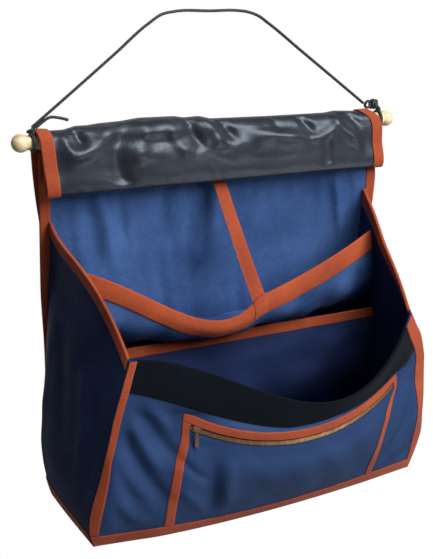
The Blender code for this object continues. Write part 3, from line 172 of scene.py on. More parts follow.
def smooth_line(route: Sequence[Point], spacing: float) -> Array:
    """A smooth line through a route's points.

    Args:
        route: The points that it passes through.
        spacing: The distance between the points of the result.

    Returns:
        The points of the line.
    """
    route = np.asarray(route, dtype=float)
    marks = run_of(route)
    lean = slopes(route, marks, 0)
    at = np.linspace(0.0, marks[-1], max(2, round(marks[-1] / spacing)) + 1)
    i = np.clip(np.searchsorted(marks, at, side="right") - 1, 0, len(marks) - 2)
    step = (marks[i + 1] - marks[i])[:, None]
    t = ((at - marks[i]) / step[:, 0])[:, None]
    return hermite(route[i], route[i + 1], lean[i], lean[i + 1], t, step)


# Driving sizes, the same as in the solid model


@dataclass(frozen=True)
class Cloths:
    """Plies and the clearances between sewn pieces."""

    cloth: float = 0.0024
    lining: float = 0.0012
    tape: float = 0.001
    gap: float = 0.0003
    tape_room: float = 0.0005
    strap_room: float = 0.0009
    seam_room: float = 0.0008

    @property
    def half(self) -> float:
        """Half the cloth's thickness."""
        return self.cloth / 2

    @property
    def tape_inner(self) -> float:
        """The height of a tape's inner face over the cloth's middle."""
        return self.half + self.tape_room

    @property
    def tape_outer(self) -> float:
        """The height of a tape's outer face over the cloth's middle."""
        return self.tape_inner + self.tape


@dataclass(frozen=True)
class DowelSizes:
    """The dowel, its knobs and the sleeve that turns on it."""

    radius: float = 0.011
    sleeve_clearance: float = 0.0008
    sleeve_length: float = 0.6
    sleeve_ply: float = 0.0024
    loop_x: float = 0.3125
    drop: float = 0.1841

    @property
    def sleeve_inner(self) -> float:
        """The sleeve's inner radius."""
        return self.radius + self.sleeve_clearance

    @property
    def sleeve_outer(self) -> float:
        """The sleeve's outer radius."""
        return self.sleeve_inner + self.sleeve_ply


@dataclass(frozen=True)
class BackSizes:
    """The back panel."""

    width: float = 0.602
    foot_width: float = 0.593
    taper: Pair = (0.23, 0.36)
    mid_setback: float = 0.035
    foot_setback: float = 0.057
    flange: float = 0.018
    flange_foot: float = 0.0065
    flange_drops: Pair = (0.15, 0.34)
    pull: float = 0.027
    pull_drops: Pair = (0.05, 0.3)
    pull_peak: float = 0.33
    columns: int = 8
    binding: float = 0.016


@dataclass(frozen=True)
class FrontSizes:
    """The front panel: its top corners, its foot and its sagging mouth."""

    base_drop: float = 0.592
    base_ply: float = 0.003
    top_width: float = 0.496
    top_drop: float = 0.289
    top_reach: float = 0.207
    foot_left: Pair = (-0.2985, -0.165)
    foot_right: Pair = (0.2905, -0.169)
    foot_bulge: float = 0.0242
    foot_peak: float = 0.43
    right_bulges: tuple = ((0.0, 0.0), (0.08, 0.0165), (0.26, 0.028), (0.5, 0.029), (0.8, 0.025), (1, 0))
    left_bulges: tuple = ((0.0, 0.0), (0.3, 0.007), (0.6, 0.008), (0.84, 0.0155), (0.94, 0.009), (1, 0))
    mouth_sag: float = 0.113
    mouth_bulge: float = 0.035
    mouth_peak: float = 0.67
    band_height: float = 0.049
    band_trim_room: float = 0.003
    band_sag: float = 0.1005
    trim_shift: float = -0.0065
    trim_extra: float = 0.004
    foot_rise: float = 0.006
    right_strip_extra: float = 0.003
    right_strip_waist: float = 0.009
    band_bulge: float = 0.04
    band_peak: float = 0.6
    belly_lean: float = 0.25
    belly_tuck: float = 0.5
    zip_levels: tuple = (0.27, 0.325, 0.36, 0.42)
    belly_levels: tuple = (0.53, 0.65, 0.77, 0.88)
    strip: float = 0.012


@dataclass(frozen=True)
class GussetSizes:
    """The two gussets."""

    top_drop: float = 0.113
    arch_left: float = 0.03
    arch_right: float = 0.004
    arch_peak: float = 0.65
    left_bulges: tuple = ((0.15, 0.0), (0.35, 0.008), (0.55, 0.018), (0.75, 0.026), (0.9, 0.022), (1, 0.012))
    right_bulges: tuple = ((0.2, 0.0), (0.5, 0.009), (0.75, 0.012), (1, 0.004))
    bulge_peak: float = 0.18
    mouth_binding: float = 0.0165
    mouth_binding_inside: float = 0.026
    columns: int = 9
    left_lean: tuple = (
        (0.0, 0.004, -0.014), (0.2, 0.012, -0.008), (0.5, 0.009, -0.005), (0.8, 0.004, -0.003), (1, 0, 0)
    )
    right_lean: tuple = (
        (0.0, 0.0, -0.008), (0.2, 0.0, -0.002), (0.5, -0.003, 0.0), (0.8, 0.0, 0.002), (1, 0, 0)
    )


@dataclass(frozen=True)
class ZipSizes:
    """The zip's arc, its slit and the pocket's trims."""

    centre_x: float = 0.03
    low_drop: float = 0.4525
    low_reach: float = 0.245
    half_chord: float = 0.186
    arc_drop: float = 0.0455
    arc_reach: float = 0.032
    slit: float = 0.01
    trim: float = 0.0135
    trim_edge: float = 0.0015
    tape: float = 0.014
    tape_ply: float = 0.0008
    lining_ply: float = 0.001
    foot_left: float = -0.192
    foot_right: float = 0.196
    columns: int = 14


@dataclass(frozen=True)
class PocketSizes:
    """The two pockets inside and the strap that holds the upper one."""

    upper_binding: float = 0.031
    lower_binding: float = 0.015
    end_room: float = 0.0009
    foot_room: float = 0.0014
    tape_end_room: float = 0.002
    end_reach: float = 0.048
    end_drop: float = 0.189
    centre: tuple[float, float, float] = (0.024, -0.105, -0.26)
    left_sag: float = 0.049
    left_peak: float = 0.7
    left_fullness: float = 0.018
    left_full_peak: float = 0.45
    right_fullness: float = 0.012
    upper_foot: float = 0.33
    upper_belly: float = 0.035
    lower_reach: float = 0.04
    lower_drop: float = 0.337
    lower_foot: float = 0.52
    lower_belly: float = 0.03
    upper_handle: Pair = (0.4, 0.52)
    lower_handle: tuple[float, float, float] = (0.35, 0.5, 0.45)
    strap_width: float = 0.022
    strap_top_drop: float = 0.03
    strap_sewn_drop: float = 0.056
    strap_top_x: float = -0.008
    strap_column: int = 12


@dataclass(frozen=True)
class LidSizes:
    """The lid: folded up in front of the dowel, and thrown over it."""

    front_hinge: Pair = (-0.3045, 0.302)
    top: Pair = (-0.3065, 0.286)
    tail_hinge: Pair = (-0.3065, 0.29)
    fold: Pair = (-0.3, 0.306)
    seam: Pair = (-0.299, 0.294)
    narrowing: Pair = (0.019, 0.012)
    arch_reach: float = 0.022
    fold_drop: float = 0.079
    fold_reach: float = 0.03
    fold_radius: float = 0.0048
    seam_angle: float = 42.0
    tail_drop: float = 0.19
    binding: float = 0.019
    end_inset: float = 0.013
    strip_height: float = 0.04
    top_line: tuple = (
        (-0.3065, 0.016), (-0.262, 0.016), (-0.243, 0.0205), (-0.222, 0.0205), (-0.207, 0.0222),
        (-0.168, 0.0238), (-0.138, 0.027), (-0.08, 0.0262), (-0.062, 0.0232), (-0.036, 0.024),
        (-0.015, 0.019), (0.093, 0.017), (0.204, 0.0165), (0.224, 0.0188), (0.262, 0.0165), (0.286, 0.017),
    )


CLOTHS = Cloths()
DOWEL = DowelSizes()


# Finishes


class Finish(Enum):
    """The material slots of the record."""

    BLUE = "blue_cloth"
    # Painted shade: the blue cloth made darker for the walls that stand in shade.
    SHADED = "blue_cloth_shaded"
    LINING = "grey_lining"
    RUST = "rust_tape"
    STRIP = "dark_strip"
    CORD = "black_cord"
    WOOD = "pale_wood"
    ZIP_TAPE = "zip_tape_brown"
    BRASS = "antique_brass"


Colour = tuple[float, float, float]
Stops = tuple[tuple[float, Colour], ...]
Line = tuple[float, float, Array]


def linear(colour: Sequence[float]) -> tuple[float, ...]:
    """The scene colour, with an alpha of one, of a screen colour from 0 to 255."""
    parts = [c / 255 for c in colour]
    return *[p / 12.92 if p <= 0.04045 else ((p + 0.055) / 1.055) ** 2.4 for p in parts], 1.0


class Tree:
    """A node tree that is built a node at a time."""

    def __init__(self, tree: NodeTree) -> None:
        """Keeps the tree."""
        self.tree = tree

    def node(self, kind: str, inputs: dict | None = None, **settings: object) -> Node:
        """Adds a node.

        Args:
            kind: The node's type.
            inputs: Values or sockets for its inputs, by name or number.
            **settings: Properties to set on it first.

        Returns:
            The node.
        """
        made = self.tree.nodes.new(kind)
        for key, value in settings.items():
            setattr(made, key, value)
        for key, value in (inputs or {}).items():
            self.feed(made.inputs[key], value)
        return made

    def feed(self, socket: Socket, value: object) -> None:
        """Gives an input a link or a value.

        Args:
            socket: The input.
            value: Another node's output, or a plain value.
        """
        if isinstance(value, Socket):
            self.tree.links.new(value, socket)
        else:
            socket.default_value = value

    def sum(self, operation: str, a: object, b: object = 0.0, c: object = 0.0) -> Socket:
        """The result of a new Math node."""
        return self.node("ShaderNodeMath", {0: a, 1: b, 2: c}, operation=operation).outputs[0]

    def ramp(self, value: object, stops: Stops) -> Socket:
        """Adds a colour ramp.

        Args:
            value: The socket that drives it.
            stops: Places and screen colours, in order.

        Returns:
            The ramp's colour.
        """
        made = self.node("ShaderNodeValToRGB", {"Fac": value})
        elements = made.color_ramp.elements
        while len(elements) < len(stops):
            elements.new(0.5)
        for element, (place, colour) in zip(elements, stops):
            element.position = place
            element.color = linear(colour)
        return made.outputs["Color"]

    def noise(self, place: object, scale: float, detail: float, bend: float = 0.0) -> Socket:
        """The value of a new noise texture."""
        inputs = {"Vector": place, "Scale": scale, "Detail": detail, "Distortion": bend}
        return self.node("ShaderNodeTexNoise", inputs).outputs["Fac"]

    def bump(self, shader: Node, height: object, strength: float) -> None:
        """Gives a shader a relief."""
        made = self.node("ShaderNodeBump", {"Height": height, "Strength": strength, "Distance": 1.0})
        self.feed(shader.inputs["Normal"], made.outputs["Normal"])

    def seen_white(self, lit: Node, white_kind: str, output: str) -> None:
        """Ends a tree that is plain white to the camera and otherwise as given.

        Args:
            lit: The shader that the rest of the scene meets.
            white_kind: The type of the white shader.
            output: The type of the tree's output.
        """
        white = self.node(white_kind, {"Color": (1, 1, 1, 1), "Strength": 1.0})
        seen = self.node("ShaderNodeLightPath").outputs["Is Camera Ray"]
        mixed = self.node("ShaderNodeMixShader", {0: seen, 1: lit.outputs[0], 2: white.outputs[0]})
        self.node(output, {"Surface": mixed.outputs[0]})


class Effects:
    """Node groups that several finishes share."""

    def __init__(self) -> None:
        """Builds every group."""
        self.weave = self._weave()
        self.stitches = self._stitches()
        self.mottle = self._mottle()

    @staticmethod
    def _group(name: str, inputs: dict[str, float], outputs: Sequence[str]) -> tuple[Tree, object, object]:
        """Starts a group.

        Args:
            name: The group's name.
            inputs: Its numeric inputs and their defaults; "Vector" is a vector.
            outputs: The names of its numeric outputs.

        Returns:
            The tree, the group's input node and its output node.
        """
        tree = bpy.data.node_groups.new(name, "ShaderNodeTree")
        for key, value in inputs.items():
            kind = "NodeSocketVector" if key == "Vector" else "NodeSocketFloat"
            made = tree.interface.new_socket(key, in_out="INPUT", socket_type=kind)
            if key != "Vector":
                made.default_value = value
        for key in outputs:
            tree.interface.new_socket(key, in_out="OUTPUT", socket_type="NodeSocketFloat")
        kit = Tree(tree)
        return kit, kit.node("NodeGroupInput"), kit.node("NodeGroupOutput")

    def _weave(self) -> NodeTree:
        """A plain weave: crossing threads with uneven thickness.

        Returns:
            The group.
        """
        kit, start, end = self._group("Weave", {"Vector": 0, "Pitch": 0.0008}, ["Height"])
        parts = kit.node("ShaderNodeSeparateXYZ", {0: start.outputs["Vector"]}).outputs
        rate = kit.sum("DIVIDE", math.tau, start.outputs["Pitch"])
        warp, weft = (kit.sum("SINE", kit.sum("MULTIPLY", parts[k], rate)) for k in "XY")
        noise = kit.noise(start.outputs["Vector"], 420.0, 2.0)
        uneven = kit.sum("MULTIPLY_ADD", noise, 0.8, 0.1)
        kit.feed(end.inputs["Height"], kit.sum("MULTIPLY_ADD", kit.sum("MULTIPLY", warp, weft), 0.5, uneven))
        return kit.tree

    def _stitches(self) -> NodeTree:
        """A row of thread stitches at a distance from a tape's edge.

        Returns:
            The group, whose vector is (along, from the edge), in metres.
        """
        inputs = {"Vector": 0, "Inset": 0.0016, "Pitch": 0.0034}
        kit, start, end = self._group("Stitches", inputs, ["Mask"])
        parts = kit.node("ShaderNodeSeparateXYZ", {0: start.outputs["Vector"]}).outputs
        off = kit.sum("ABSOLUTE", kit.sum("SUBTRACT", parts["Y"], start.outputs["Inset"]))
        turn = kit.sum("FRACT", kit.sum("DIVIDE", parts["X"], start.outputs["Pitch"]))
        thread = kit.sum("MULTIPLY", kit.sum("LESS_THAN", off, 0.00042), kit.sum("LESS_THAN", turn, 0.7))
        kit.feed(end.inputs["Mask"], thread)
        return kit.tree

    def _mottle(self) -> NodeTree:
        """Broad and fine unevenness of dye and wear.

        Returns:
            The group.
        """
        kit, start, end = self._group("Mottle", {"Vector": 0}, ["Broad", "Fine"])
        for key, scale, detail in (("Broad", 9.0, 4.0), ("Fine", 160.0, 6.0)):
            kit.feed(end.inputs[key], kit.noise(start.outputs["Vector"], scale, detail))
        return kit.tree


@dataclass(frozen=True)
class ClothFinish:
    """A woven cloth or tape."""

    finish: Finish
    shade: Colour
    light: Colour
    roughness: float
    pitch: float
    relief: float
    sheen: float = 0.0
    sheen_roughness: float = 0.5
    specular: float = 0.3
    tint: Colour = (1.0, 1.0, 1.0)
    thread: Colour | None = None
    crease: float = 0.0
    crease_scale: float = 22.0
    # How much painted shade darkens the cloth the further forward it lies.
    front_painted_shade: float = 0.0


@dataclass(frozen=True)
class PlainFinish:
    """Cord, wood or metal, whose colour, gloss and relief follow one noise."""

    finish: Finish
    stops: Stops
    roughness: float
    change: float = 0.0
    relief: float = 0.0
    bump: float = 0.8
    sheen: float = 0.0
    metallic: float = 0.0
    grain: Colour | None = None


class Palette:
    """Makes each slot's material once."""

    SATIN = {"tint": (0.5, 0.68, 1.0), "specular": 0.14}
    CLOTHS = (
        ClothFinish(
            Finish.BLUE, (52, 78, 126), (72, 102, 155), 0.52, 0.0011, 0.00012, crease=0.0022, front_painted_shade=0.7,
            **SATIN,
        ),
        # Painted shade: a darker copy of the blue cloth for the gussets and the lower pocket, which hang in
        # shade.
        ClothFinish(Finish.SHADED, (31, 41, 75), (43, 57, 98), 0.54, 0.0011, 0.00012, crease=0.0016, **SATIN),
        ClothFinish(
            Finish.LINING, (33, 34, 41), (46, 48, 57), 0.37, 0.0006, 0.00003,
            specular=0.52, tint=(0.72, 0.86, 1.0), crease=0.002, crease_scale=24.0,
        ),
        ClothFinish(
            Finish.RUST, (144, 58, 28), (176, 78, 40), 0.8, 0.0016, 0.00022, 0.08, thread=(176, 84, 52)
        ),
        ClothFinish(Finish.STRIP, (7, 11, 17), (13, 20, 29), 0.95, 0.0022, 0.0006, 0.08, 0.35, 0.1),
        ClothFinish(Finish.ZIP_TAPE, (82, 60, 46), (112, 84, 64), 0.78, 0.001, 0.00012, 0.1),
    )
    PLAIN = (
        PlainFinish(Finish.CORD, ((0.3, (16, 17, 19)), (0.7, (36, 38, 41))), 0.62, relief=0.0005, sheen=0.15),
        PlainFinish(
            Finish.WOOD, ((0.3, (196, 166, 122)), (0.5, (226, 202, 162)), (0.7, (238, 219, 184))), 0.38, 0.2,
            relief=0.0003, bump=0.5, grain=(6.0, 160.0, 160.0),
        ),
        PlainFinish(Finish.BRASS, ((0.3, (124, 90, 64)), (0.7, (172, 132, 96))), 0.55, -0.25, metallic=0.7),
    )

    def __init__(self, nodes: dict[str, Thing]) -> None:
        """Builds the materials and puts them on the frame's own pieces.

        Args:
            nodes: The frame's pieces by name.
        """
        self.effects = Effects()
        self.made = {look.finish: self._cloth(look) for look in self.CLOTHS}
        self.made.update({look.finish: self._plain(look) for look in self.PLAIN})
        for obj in nodes.values():
            for place in obj.material_slots:
                name = place.material.name.split(".")[0] if place.material else ""
                if name in {f.value for f in Finish}:
                    place.material = self.made[Finish(name)]

    @staticmethod
    def _start(finish: Finish, settings: dict[str, object]) -> tuple[Tree, Node, Material]:
        """Starts a material.

        Args:
            finish: The slot that it is for.
            settings: Plain values for its shader.

        Returns:
            The tree, the shader and the material.
        """
        material = bpy.data.materials.new("look_" + finish.value)
        material.use_nodes = True
        shader = material.node_tree.nodes["Principled BSDF"]
        for key, value in settings.items():
            shader.inputs[key].default_value = value
        return Tree(material.node_tree), shader, material

    def _cloth(self, look: ClothFinish) -> Material:
        """A woven cloth with uneven dye, painted shade towards the front, thread relief, creases and
        stitches.

        Args:
            look: The cloth's finish.

        Returns:
            The material.
        """
        kit, shader, material = self._start(look.finish, {
            "Sheen Weight": look.sheen, "Sheen Roughness": look.sheen_roughness,
            "Specular IOR Level": look.specular, "Specular Tint": (*look.tint, 1.0),
        })
        flat = kit.node("ShaderNodeUVMap", uv_map="cloth").outputs["UV"]
        place = kit.node("ShaderNodeTexCoord").outputs["Object"]
        inputs = {"Vector": flat, "Pitch": look.pitch}
        weave = kit.node("ShaderNodeGroup", inputs, node_tree=self.effects.weave).outputs[0]
        mottle = kit.node("ShaderNodeGroup", {"Vector": place}, node_tree=self.effects.mottle).outputs
        tone = kit.sum("MULTIPLY_ADD", mottle["Fine"], 0.35, -0.29)
        tone = kit.sum("MULTIPLY_ADD", weave, 0.25, kit.sum("ADD", mottle["Broad"], tone))
        # Painted shade: the tone is made darker the further forward the cloth lies (y from -0.14 to -0.2), so
        # the front panel reads darker than the lit back panel.
        if look.front_painted_shade:
            depth = kit.node("ShaderNodeSeparateXYZ", {0: place}).outputs["Y"]
            limits = {"Value": depth, "From Min": -0.14, "From Max": -0.2, "To Max": look.front_painted_shade}
            tone = kit.sum("SUBTRACT", tone, kit.node("ShaderNodeMapRange", limits).outputs[0])
        deep = tuple(c * 0.8 for c in look.shade)
        colour = kit.ramp(tone, ((0.0, deep), (0.35, look.shade), (0.75, look.light)))
        height = kit.sum("MULTIPLY", weave, look.relief)
        if look.crease:
            wide = kit.noise(place, look.crease_scale, 3.0, 0.8)
            height = kit.sum("MULTIPLY_ADD", wide, look.crease, height)
        if look.thread:
            rows = kit.node("ShaderNodeGroup", {"Vector": flat}, node_tree=self.effects.stitches).outputs[0]
            sewn = {0: rows, 6: colour, 7: linear(look.thread)}
            colour = kit.node("ShaderNodeMix", sewn, data_type="RGBA").outputs[2]
            height = kit.sum("MULTIPLY_ADD", rows, 0.0004, height)
        kit.feed(shader.inputs["Base Color"], colour)
        kit.bump(shader, height, 0.9)
        rough = kit.sum("MULTIPLY_ADD", mottle["Broad"], 0.16, look.roughness - 0.08)
        kit.feed(shader.inputs["Roughness"], rough)
        return material

    def _plain(self, look: PlainFinish) -> Material:
        """Cord, wood or metal.

        Args:
            look: Its finish.

        Returns:
            The material.
        """
        settings = {"Sheen Weight": look.sheen, "Metallic": look.metallic}
        kit, shader, material = self._start(look.finish, settings)
        place = kit.node("ShaderNodeTexCoord").outputs["Object"]
        if look.grain:
            long = kit.node("ShaderNodeMapping", {"Vector": place, "Scale": look.grain}).outputs[0]
            tone = kit.noise(long, 1.0, 5.0, 0.4)
        else:
            mottle = kit.node("ShaderNodeGroup", {"Vector": place}, node_tree=self.effects.mottle)
            tone = mottle.outputs["Fine"]
        kit.feed(shader.inputs["Base Color"], kit.ramp(tone, look.stops))
        kit.feed(shader.inputs["Roughness"], kit.sum("MULTIPLY_ADD", tone, look.change, look.roughness))
        if look.relief:
            kit.bump(shader, kit.sum("MULTIPLY", tone, look.relief), look.bump)
        return material

    def paint(self, obj: Thing, finish: Finish) -> None:
        """Puts a finish on a new piece."""
        obj.data.materials.append(self.made[finish])


# Cloth


@dataclass(frozen=True)
class Crease:
    """A soft fold on a cloth, along a line through places on it, in millimetres.

    A positive height is a ridge and a negative one a valley. The far share is
    how much wider the fold is on the side that lies to the right of its way.
    """

    path: tuple[float, ...]
    height: float
    width: float
    far: float = 1.0

    def at(self, u: Array, v: Array) -> Array:
        """How far the cloth stands out here.

        Args:
            u: The place across the cloth.
            v: The place up or down the cloth.

        Returns:
            The height, in metres.
        """
        line = smooth_line(np.reshape(self.path, (-1, 2)) / MM, 0.012)
        steps = np.diff(line, axis=0)
        sizes = np.linalg.norm(steps, axis=1)
        total = sizes.sum()
        best = np.full(np.shape(u), 1e9)
        run, side, start = np.zeros(np.shape(u)), np.zeros(np.shape(u)), 0.0
        for (a, b), (du, dv), size in zip(line, steps, sizes):
            t = np.clip(((u - a) * du + (v - b) * dv) / size**2, 0.0, 1.0)
            far_u, far_v = u - a - t * du, v - b - t * dv
            off = np.hypot(far_u, far_v)
            near = off < best
            best = np.where(near, off, best)
            run = np.where(near, start + t * size, run)
            side = np.where(near, far_u * dv - far_v * du, side)
            start += size
        width = np.where(side > 0, self.width * self.far, self.width) / MM
        fade = smooth(run / (0.3 * total)) * smooth((total - run) / (0.3 * total))
        return self.height / MM * np.exp(-((best / width) ** 2)) * fade


def folds_at(creases: Iterable[Crease], u: Array, v: Array) -> Array:
    """The height of several creases together."""
    return sum(crease.at(u, v) for crease in creases)


class Sheet:
    """A smooth cloth surface through a grid of points, with its small folds."""

    PROBE = 0.02

    def __init__(
        self, grid: Array, outward: Point, relief: Relief | None = None, level_foot: bool = False
    ) -> None:
        """Measures the grid.

        Args:
            grid: The points, row by row.
            outward: Roughly the way that the cloth's outer face looks.
            relief: The folds' height from the points and the distances along and down.
            level_foot: Whether the cloth ends in a level edge along its last row.
        """
        self.grid = np.asarray(grid, dtype=float)
        self.rows, self.columns = self.grid.shape[:2]
        self.down, self.along = self._marks(0), self._marks(1)
        self.relief, self.level_foot, self.turn = relief, level_foot, 1.0
        middle = self.normal(np.array([self.rows / 2]), np.array([self.columns / 2]))
        if float(middle[0] @ np.asarray(outward, dtype=float)) < 0:
            self.turn = -1.0

    def _marks(self, axis: int) -> Array:
        """The mean distance of each grid line from the first one."""
        steps = np.linalg.norm(np.diff(self.grid, axis=axis), axis=2).mean(axis=1 - axis)
        return np.concatenate(([0.0], np.cumsum(np.maximum(steps, 1e-5))))

    @staticmethod
    def _locate(marks: Array, index: Array) -> tuple[Array, Array, Array]:
        """The grid cell of a fractional index, the share of the way through it and its size."""
        cell = np.clip(index.astype(int), 0, len(marks) - 2)
        return cell, index - cell, np.diff(marks)[cell]

    def base(self, row: Array, column: Array) -> Array:
        """Points of the smooth surface, without its folds.

        Args:
            row: Fractional rows.
            column: Fractional columns, in the same shape.

        Returns:
            The points.
        """
        shape = np.broadcast(row, column).shape
        r, c = (np.broadcast_to(x, shape).ravel() for x in (row, column))
        i, t, step = self._locate(self.down, r)
        lean = slopes(self.grid, self.down, 0)
        t, step = t[:, None, None], step[:, None, None]
        lines = hermite(self.grid[i], self.grid[i + 1], lean[i], lean[i + 1], t, step)
        j, t, step = self._locate(self.along, c)
        lean, n = slopes(lines, self.along, 1), np.arange(len(r))
        made = (lines[n, j], lines[n, j + 1], lean[n, j], lean[n, j + 1], t[:, None], step[:, None])
        return hermite(*made).reshape(*shape, 3)

    def normal(self, row: Array, column: Array) -> Array:
        """The outward directions of the smooth surface.

        Args:
            row: Fractional rows.
            column: Fractional columns.

        Returns:
            Unit vectors.
        """
        step = self.PROBE
        r0, r1 = (np.clip(row + k, 0, self.rows - 1) for k in (-step, step))
        c0, c1 = (np.clip(column + k, 0, self.columns - 1) for k in (-step, step))
        r0 = np.minimum(r0, r1 - step)
        along = self.base(row, c1) - self.base(row, c0)
        made = unit(np.cross(self.base(r1, column) - self.base(r0, column), along)) * self.turn
        if self.level_foot:
            made[..., 2] *= 1 - smooth(np.broadcast_to(row, made.shape[:-1]) - (self.rows - 2))
            made = unit(made)
        return made

    def metres(self, row: Array, column: Array) -> tuple[Array, Array]:
        """The distances along and down the cloth at rows and columns."""
        along = reach(column, np.arange(self.columns), self.along)
        return along, reach(row, np.arange(self.rows), self.down)

    def place(self, row: Array, column: Array, offset: Array = 0.0) -> Array:
        """Points of the folded cloth, moved out along its normals.

        Args:
            row: Fractional rows.
            column: Fractional columns, in the same shape.
            offset: How far to move out.

        Returns:
            The points.
        """
        row, column = np.broadcast_arrays(np.asarray(row, float), np.asarray(column, float))
        points = self.base(row, column)
        lift = np.broadcast_to(np.asarray(offset, float), row.shape)
        if self.relief is not None:
            lift = lift + self.relief(points, *self.metres(row, column))
        return points + self.normal(row, column) * lift[..., None]

    def row_at(self, distance: Array) -> Array:
        """The fractional row at a distance down."""
        return reach(distance, self.down, np.arange(self.rows))

    def column_at(self, distance: Array) -> Array:
        """The fractional column at a distance along."""
        return reach(distance, self.along, np.arange(self.columns))

    def size(self) -> Pair:
        """The cloth's mean width and length, laid flat."""
        return float(self.along[-1]), float(self.down[-1])

    def area(self) -> float:
        """The cloth's area laid flat, kept under that of the rectangle round it.

        Returns:
            The area in square metres.
        """
        r, c = (np.linspace(0, n - 1, 60) for n in (self.rows, self.columns))
        p = self.base(*np.meshgrid(r, c, indexing="ij"))
        a, b = p[1:, :-1] - p[:-1, :-1], p[:-1, 1:] - p[:-1, :-1]
        width, length = self.size()
        return min(float(np.linalg.norm(np.cross(a, b), axis=2).sum()), width * length)

    def tree(self) -> BVHTree:
        """A search tree of the grid.

        Returns:
            The tree.
        """
        index = np.arange(self.rows * self.columns).reshape(self.rows, self.columns)
        faces = np.stack((index[:-1, :-1], index[:-1, 1:], index[1:, 1:], index[1:, :-1]), axis=-1)
        return BVHTree.FromPolygons(self.grid.reshape(-1, 3).tolist(), faces.reshape(-1, 4).tolist())


class Edge(Enum):
    """The four edges of a sheet."""

    TOP = "top"
    FOOT = "foot"
    LEFT = "left"
    RIGHT = "right"


class Tailor:
    """Cuts sheets and tapes out of surfaces and makes them into pieces."""

    STEP = 0.0035
    TAPE_STEP = 0.003
    RIM = 0.0011
    SHARP = 50
    CORD_SIDES = 14
    RIM_SHARES = (0.0, 0.35, 1.0)
    CROWN = (67.5, 45.0, 22.5, 0.0, -22.5, -45.0, -67.5)

    def __init__(self, palette: Palette) -> None:
        """Keeps the materials."""
        self.palette = palette
        self.count = 0

    @classmethod
    def thinned(cls, inset: Array) -> Array:
        """The share of a tape's thickness at a distance in from its cut edge."""
        return 0.45 + 0.55 * smooth(inset / cls.RIM)

    @staticmethod
    def ticks(marks: Array, first: float, last: float, step: float, rim: float = 0.0) -> Array:
        """Even places between two grid lines, on every grid line, close together at a rim.

        Args:
            marks: The grid lines' distances.
            first: The first fractional line.
            last: The last fractional line.
            step: The usual distance between places.
            rim: The width of the thinned rim, or 0.

        Returns:
            The fractional lines.
        """
        lines = np.arange(len(marks))
        start, end = reach(np.array([first, last]), lines, marks)
        inner = [m for m in marks if start + 1e-5 < m < end - 1e-5]
        stops = [start, *inner, end]
        made = [np.array([start])]
        for a, b in zip(stops, stops[1:]):
            made.append(np.linspace(a, b, max(1, math.ceil((b - a) / step)) + 1)[1:])
        places = np.concatenate(made)
        if rim and end - start > 3 * rim:
            places = places[(places > start + rim * 1.3) & (places < end - rim * 1.3)]
            near = np.array(Tailor.RIM_SHARES) * rim
            places = np.concatenate((start + near, places, end - near[::-1]))
        return reach(places, marks, lines)

    def slab(
        self, name: str, inner: Array, outer: Array, uv: Array, finish: Finish, missing: Array | None = None
    ) -> Thing:
        """A closed sheet between two grids of points.

        Args:
            name: The piece's name.
            inner: The inner grid.
            outer: The outer grid.
            uv: Distances along and down for each grid point.
            finish: The piece's finish.
            missing: Which cells are open, if any.

        Returns:
            The piece.
        """
        rows, columns = inner.shape[:2]
        n = rows * columns
        keep = np.ones((rows - 1, columns - 1), bool) if missing is None else ~missing
        index = np.arange(n).reshape(rows, columns)
        corners = (index[:-1, :-1], index[:-1, 1:], index[1:, 1:], index[1:, :-1])
        low = np.stack([corner[keep] for corner in corners], axis=1)
        sides = {tuple(e) for k in range(4) for e in low[:, [k, (k + 1) % 4]].tolist()}
        rim = sorted((q, p, p + n, q + n) for p, q in sides if (q, p) not in sides)
        faces = [*map(tuple, low.tolist()), *map(tuple, (low[:, ::-1] + n).tolist()), *rim]
        points = np.concatenate((inner.reshape(-1, 3), outer.reshape(-1, 3)))
        return self.piece(name, points, faces, np.tile(uv.reshape(-1, 2), (2, 1)), finish)

    def piece(
        self, name: str, points: Array, faces: Iterable[Sequence[int]], uv: Array, finish: Finish
    ) -> Thing:
        """Makes an object of points in the dowel's frame.

        Args:
            name: The piece's name.
            points: Its points.
            faces: Its faces.
            uv: Distances along and down for each point.
            finish: The piece's finish.

        Returns:
            The piece.
        """
        mesh = bpy.data.meshes.new(name)
        mesh.from_pydata((points - point(0, 0, DOWEL.drop)).tolist(), [], list(faces))
        layer = mesh.uv_layers.new(name="cloth")
        order = np.empty(len(mesh.loops), dtype=np.int64)
        mesh.loops.foreach_get("vertex_index", order)
        layer.data.foreach_set("uv", uv[order].ravel())
        bm = bmesh.new()
        bm.from_mesh(mesh)
        loose = [v for v in bm.verts if not v.link_faces]
        bmesh.ops.delete(bm, geom=loose, context="VERTS")
        bmesh.ops.recalc_face_normals(bm, faces=bm.faces)
        bm.to_mesh(mesh)
        bm.free()
        mesh.shade_smooth()
        mesh.set_sharp_from_angle(angle=math.radians(self.SHARP))
        obj = bpy.data.objects.new(name, mesh)
        bpy.context.scene.collection.objects.link(obj)
        self.palette.paint(obj, finish)
        self.count += 1
        LOG.info("%s: %d faces", name, len(mesh.polygons))
        return obj

    def panel(
        self, name: str, sheet: Sheet, finish: Finish, half: float = CLOTHS.half, opening: tuple[float,
        float, float, float] | None = None,
    ) -> Thing:
        """A whole cloth.

        Args:
            name: The piece's name.
            sheet: The cloth's surface.
            finish: Its finish.
            half: Half its thickness.
            opening: First and last row and column of an opening.

        Returns:
            The piece.
        """
        r = self.ticks(sheet.down, 0, sheet.rows - 1, self.STEP)
        c = self.ticks(sheet.along, 0, sheet.columns - 1, self.STEP)
        rr, cc = np.meshgrid(r, c, indexing="ij")
        missing = None
        if opening:
            r0, r1, c0, c1 = opening
            row, column = (r[1:] + r[:-1]) / 2, (c[1:] + c[:-1]) / 2
            missing = ((row > r0) & (row < r1))[:, None] & ((column > c0) & (column < c1))[None, :]
        uv = np.stack(sheet.metres(rr, cc), axis=-1)
        return self.slab(name, sheet.place(rr, cc, -half), sheet.place(rr, cc, half), uv, finish, missing)

